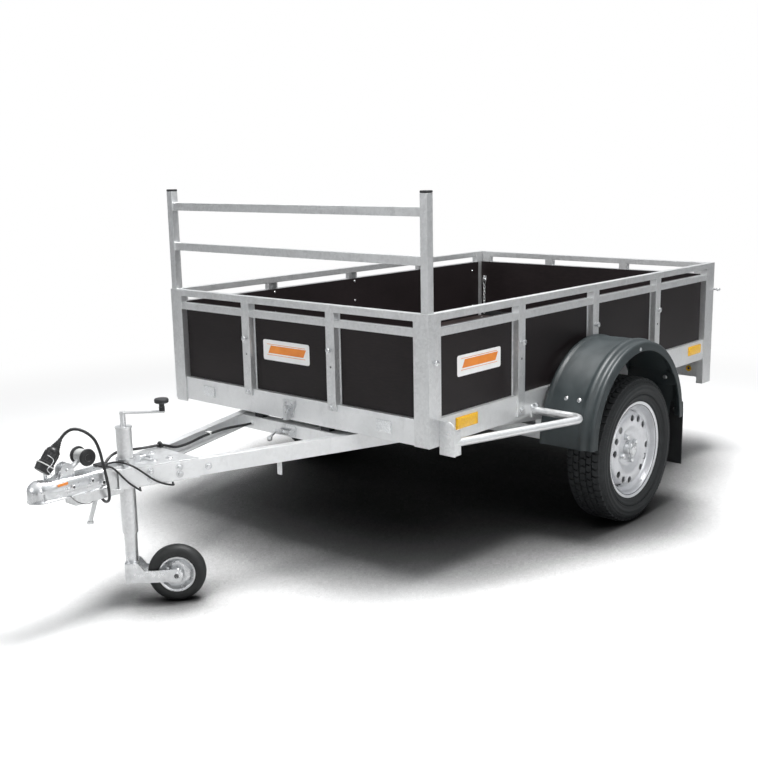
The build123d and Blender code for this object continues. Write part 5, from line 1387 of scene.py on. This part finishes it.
# Chain on the tailgate's inner face, hanging from a ring in a staple
CHAIN_PITCH, CHAIN_WIRE, CHAIN_LINKS = 16, 1.9, 9
CHAIN_X, CHAIN_Y, CHAIN_TOP_Z = -583, 1952, 702
LINK_HALF_W, LINK_END_R, LINK_STRAIGHT = 5, 6, 4
STAPLE_Z, STAPLE_WIRE = CHAIN_TOP_Z + 44, 2.2


def chain_link(across):
    """One upright link, wide in the direction given."""
    loop = []
    for step in range(16):
        angle = math.tau * step / 16
        height = LINK_END_R * math.sin(angle) + (LINK_STRAIGHT if math.sin(angle) > 0 else -LINK_STRAIGHT)
        loop.append((Vector(across) * LINK_HALF_W * math.cos(angle) + Vector(UP) * height) * MM)
    bm = bmesh.new()
    bent_bar(bm, loop, CHAIN_WIRE, 8, True)
    return shaped("chain_link", bm, 60)


for name, first, across in (("chain_links", 0, LEFT), ("chain_cross_links", 1, BACKWARD)):
    heights = [CHAIN_TOP_Z - CHAIN_PITCH * k for k in range(first, CHAIN_LINKS, 2)]
    places = [(at(CHAIN_X, CHAIN_Y, z), UP) for z in heights]
    set_out(name, chain_link(across), places, ZINC, "tailgate")
ring = [(0, 7), (5, 15), (8, 26), (9, 36), (6, 43), (0, 44), (-6, 43), (-9, 36), (-8, 26), (-5, 15)]
staple = [(1960, -7), (1949, -7), (1946, -4), (1946, 4), (1949, 7), (1960, 7)]
bm = bmesh.new()
bent_bar(bm, [at(CHAIN_X + u, CHAIN_Y, CHAIN_TOP_Z + v) for u, v in ring], STAPLE_WIRE, 8, True)
bent_bar(bm, [at(CHAIN_X, y, STAPLE_Z + v) for y, v in staple], STAPLE_WIRE, 8)
box(bm, (CHAIN_X - 9, CHAIN_X + 9), (1957.5, 1959.6), (STAPLE_Z - 14, STAPLE_Z + 14), 0.6)
built("chain_hook", bm, ZINC, "tailgate", sharp=60)


# Thumb levers on the tailgate latches' tongues, which reach past the portal posts
LEVER_Y, LEVER_Z = 2018, 762
thumb = [(0, 0), (0, 5), (2, 6.6), (7, 8), (12, 7.6), (15, 5), (16, 0)]
bm = bmesh.new()
round_bar(bm, at(604, LEVER_Y, LEVER_Z), at(653, LEVER_Y, LEVER_Z), 4.5, 20)
turned(bm, thumb, at(650, LEVER_Y, LEVER_Z), LEFT, 28)
both_sides(bm)
built("latch_thumb_levers", bm, ZINC, "tailgate", sharp=40)

# Cable grommet and a plugged hole in the lamp board's front, by the left rear post
BOARD_Y = 1980
GROMMET = at(551, BOARD_Y, 398)
bm = bmesh.new()
turned(bm, [(0, 5), (0, 12), (3, 13.5), (5, 12), (5.5, 8), (3, 5)], GROMMET, FORWARD, 28)
built("board_grommet", bm, AMBER, "bed")
bm = bmesh.new()
turned(bm, [(0, 0), (0, 5.2), (3.4, 5.2), (4, 3), (4, 0)], GROMMET, FORWARD, 20)
turned(bm, [(0, 0), (0, 6.5), (0.8, 6), (0.8, 0)], at(597, BOARD_Y, 421), FORWARD, 20)
built("board_plugs", bm, BLACK_PLASTIC, "bed")


# Tipping latch: the hook plate's bolts and the spring round the pin
latch_bolts = [(at(x, 0, 518), FORWARD) for x in (-19, 19)]
set_out("latch_bolts", hex_bolt(9, 3.4, 8), latch_bolts, ZINC, "bed")
bm = bmesh.new()
bent_bar(bm, coil(at(-25, -17, 414), (50, 0, 0), BACKWARD, UP, 7.4, 8, 12), 1.2, 6)
built("latch_spring", bm, ZINC, "chassis", sharp=60)


# The arms' bolts, the tab on the left arm, and the clips that hold the cable along the right arm
ARM_NOSE_X, ARM_NOSE_Y = 35, -742
ARM_REAR_X, ARM_REAR_Y = 616, 984
ARM_SPREAD = (ARM_REAR_X - ARM_NOSE_X) / (ARM_REAR_Y - ARM_NOSE_Y)
arm_out = Vector((1, -ARM_SPREAD, 0)).normalized()
arm_bolts = []
for side in (-1, 1):
    for y, z in ((-648, 428), (-648, 406), (-560, 428), (-560, 406), (-470, 417)):
        x = ARM_NOSE_X + ARM_SPREAD * (y - ARM_NOSE_Y)
        arm_bolts.append((at(side * x, y, z), (side * arm_out.x, arm_out.y, 0)))
arm_bolts += [(at(x, y, 449), UP) for x, y in ((-46, -560), (46, -560), (-34, -610), (34, -610))]
set_out("arm_bolts", hex_bolt(), arm_bolts, ZINC, "chassis")
bm = bmesh.new()
box(bm, (190, 210), (-238, -233), (347, 391), 1.6)
built("arm_tab", bm, GALVANISED, "chassis")
bm = bmesh.new()
turned(bm, [(-3, 6), (-3, 11), (0, 12), (3, 11), (3, 6)], at(-84, -498, 457), BACKWARD, 28)
box(bm, (-95, -73), (-504, -492), (449, 453), 1.0)
built("cable_grommet", bm, BLACK_PLASTIC, "chassis")
bm = bmesh.new()
turned(bm, [(-4, 4.8), (-4, 6.6), (4, 6.6), (4, 4.8)], at(-163, -230, 426.5), (0.34, -0.94, 0.06), 24)
box(bm, (-176, -158), (-238, -222), (430, 434.5), 1.0)
built("cable_clip", bm, GREY_PLASTIC, "chassis")


# Studio: a white floor with painted shadow under the trailer, a soft room for the metal, and three lights
FLOOR_SIZE, PAINTED_SHADOW_REACH = 60, 0.85
FADE_START, FADE_END = 1.8, 4.2
SKY_TINT, SKY_STRENGTH = (0.94, 0.97, 1.0), 0.22
ROOM_STRENGTH = 0.95
ROOM_LOW = (0.3, 0.31, 0.32)
ROOM_LEVELS = ((0.04, 0.34), (0.16, 0.62), (0.34, 0.40), (0.60, 0.85))


def studio_floor():
    """A white floor with contact shadow painted into its colour and painted darker in the metal's
    reflections, which fades to plain white away from the trailer.
    """
    bpy.ops.mesh.primitive_plane_add(size=FLOOR_SIZE)
    ground = bpy.context.object
    ground.name = "studio_floor"
    made = Finish("studio_floor")
    made.set(Roughness=0.9, Specular_IOR_Level=0.05)
    # Painted shadow: ambient occlusion darkens the floor's colour to near black under the trailer
    open_sky = made.node("ShaderNodeAmbientOcclusion", samples=16)
    open_sky.inputs["Distance"].default_value = PAINTED_SHADOW_REACH
    shade = made.ramp(open_sky.outputs["AO"], (0.34, 0.006), (0.68, 0.22), (0.92, 0.95))
    # Painted shade in reflections: the floor's colour is a third darker where the metal reflects it
    darker_in_reflections = made.spread(made.light_path("Glossy"), 0.0, 1.0, 0.0, 0.34)
    made.colour(made.mixed(darker_in_reflections, shade, grey(0.0)))
    distance = made.node("ShaderNodeVectorMath", operation="LENGTH")
    made.link(made.place, distance.inputs[0])
    fade = made.node("ShaderNodeMapRange", interpolation_type="SMOOTHSTEP")
    made.link(distance.outputs["Value"], fade.inputs["Value"])
    fade.inputs["From Min"].default_value = FADE_START
    fade.inputs["From Max"].default_value = FADE_END
    seen = made.node("ShaderNodeMath", operation="MULTIPLY")
    made.link(made.light_path("Camera"), seen.inputs[0])
    made.link(fade.outputs["Result"], seen.inputs[1])
    white = made.node("ShaderNodeEmission")
    white.inputs["Color"].default_value = (1, 1, 1, 1)
    surface = made.shader_mix(seen.outputs[0], made.shader.outputs[0], white.outputs[0])
    made.link(surface, made.tree.nodes["Material Output"].inputs["Surface"])
    ground.data.materials.append(made.material)


def studio_world():
    """A soft light from all round, a banded room for what shines, and plain white behind."""
    world = bpy.data.worlds.new("studio_world")
    bpy.context.scene.world = world
    world.use_nodes = True
    made = NodeTree(world.node_tree)
    sky = made.tree.nodes["Background"]
    sky.inputs["Color"].default_value = (*SKY_TINT, 1)
    sky.inputs["Strength"].default_value = SKY_STRENGTH
    parts = made.node("ShaderNodeSeparateXYZ")
    made.link(made.node("ShaderNodeTexCoord").outputs["Generated"], parts.inputs[0])
    heights = made.node("ShaderNodeValToRGB")
    for position, level in ROOM_LEVELS:
        stop = heights.color_ramp.elements.new(position)
        stop.color = (*shaded(SKY_TINT, level), 1)
    heights.color_ramp.elements[0].color = (*ROOM_LOW, 1)
    made.link(parts.outputs["Z"], heights.inputs["Fac"])
    room = made.node("ShaderNodeBackground")
    made.link(heights.outputs["Color"], room.inputs["Color"])
    room.inputs["Strength"].default_value = ROOM_STRENGTH
    plain = made.node("ShaderNodeBackground")
    plain.inputs["Color"].default_value = (1, 1, 1, 1)
    plain.inputs["Strength"].default_value = 1.0
    seen = made.node("ShaderNodeMath", operation="MAXIMUM")
    made.link(made.light_path("Camera"), seen.inputs[0])
    made.link(made.light_path("Transmission"), seen.inputs[1])
    shine = made.shader_mix(made.light_path("Glossy"), sky.outputs[0], room.outputs[0])
    surface = made.shader_mix(seen.outputs[0], shine, plain.outputs[0])
    made.link(surface, made.tree.nodes["World Output"].inputs["Surface"])


def softbox(name, place, target, size, power):
    """A rectangular light that faces a target."""
    light = bpy.data.lights.new(name, "AREA")
    light.shape = "RECTANGLE"
    light.size, light.size_y = size
    light.energy = power
    lamp = placed(name, light)
    lamp.location = place
    lamp.rotation_euler = (Vector(target) - Vector(place)).to_track_quat("-Z", "Y").to_euler()


bpy.context.scene.view_settings.view_transform = "Standard"
studio_floor()
studio_world()
softbox("overhead", (0.5, 0.1, 4.6), (0.1, -0.1, 0.4), (1.7, 1.7), 330)
softbox("front_fill", (-1.6, -6.4, 2.6), (0, 0, 0.5), (3.0, 2.0), 62)
softbox("side_fill", (5.6, -0.9, 2.8), (0.3, 0.2, 0.5), (2.6, 2.0), 72)

# Camera at the photo's angle
CAMERA_YAW, CAMERA_PITCH, CAMERA_ROLL = (math.radians(angle) for angle in (42.118, 11.528, -1.103))
CAMERA_LENS, SENSOR_WIDTH = 50.60, 36
camera_data = bpy.data.cameras.new("camera")
camera_data.lens = CAMERA_LENS
camera_data.sensor_width = SENSOR_WIDTH
camera = placed("camera", camera_data)
camera.location = at(2710, -2518, 1346)
turn = Matrix.Rotation(CAMERA_YAW, 4, "Z") @ Matrix.Rotation(math.pi / 2 - CAMERA_PITCH, 4, "X")
camera.rotation_euler = (turn @ Matrix.Rotation(CAMERA_ROLL, 4, "Z")).to_euler()
bpy.context.scene.camera = camera
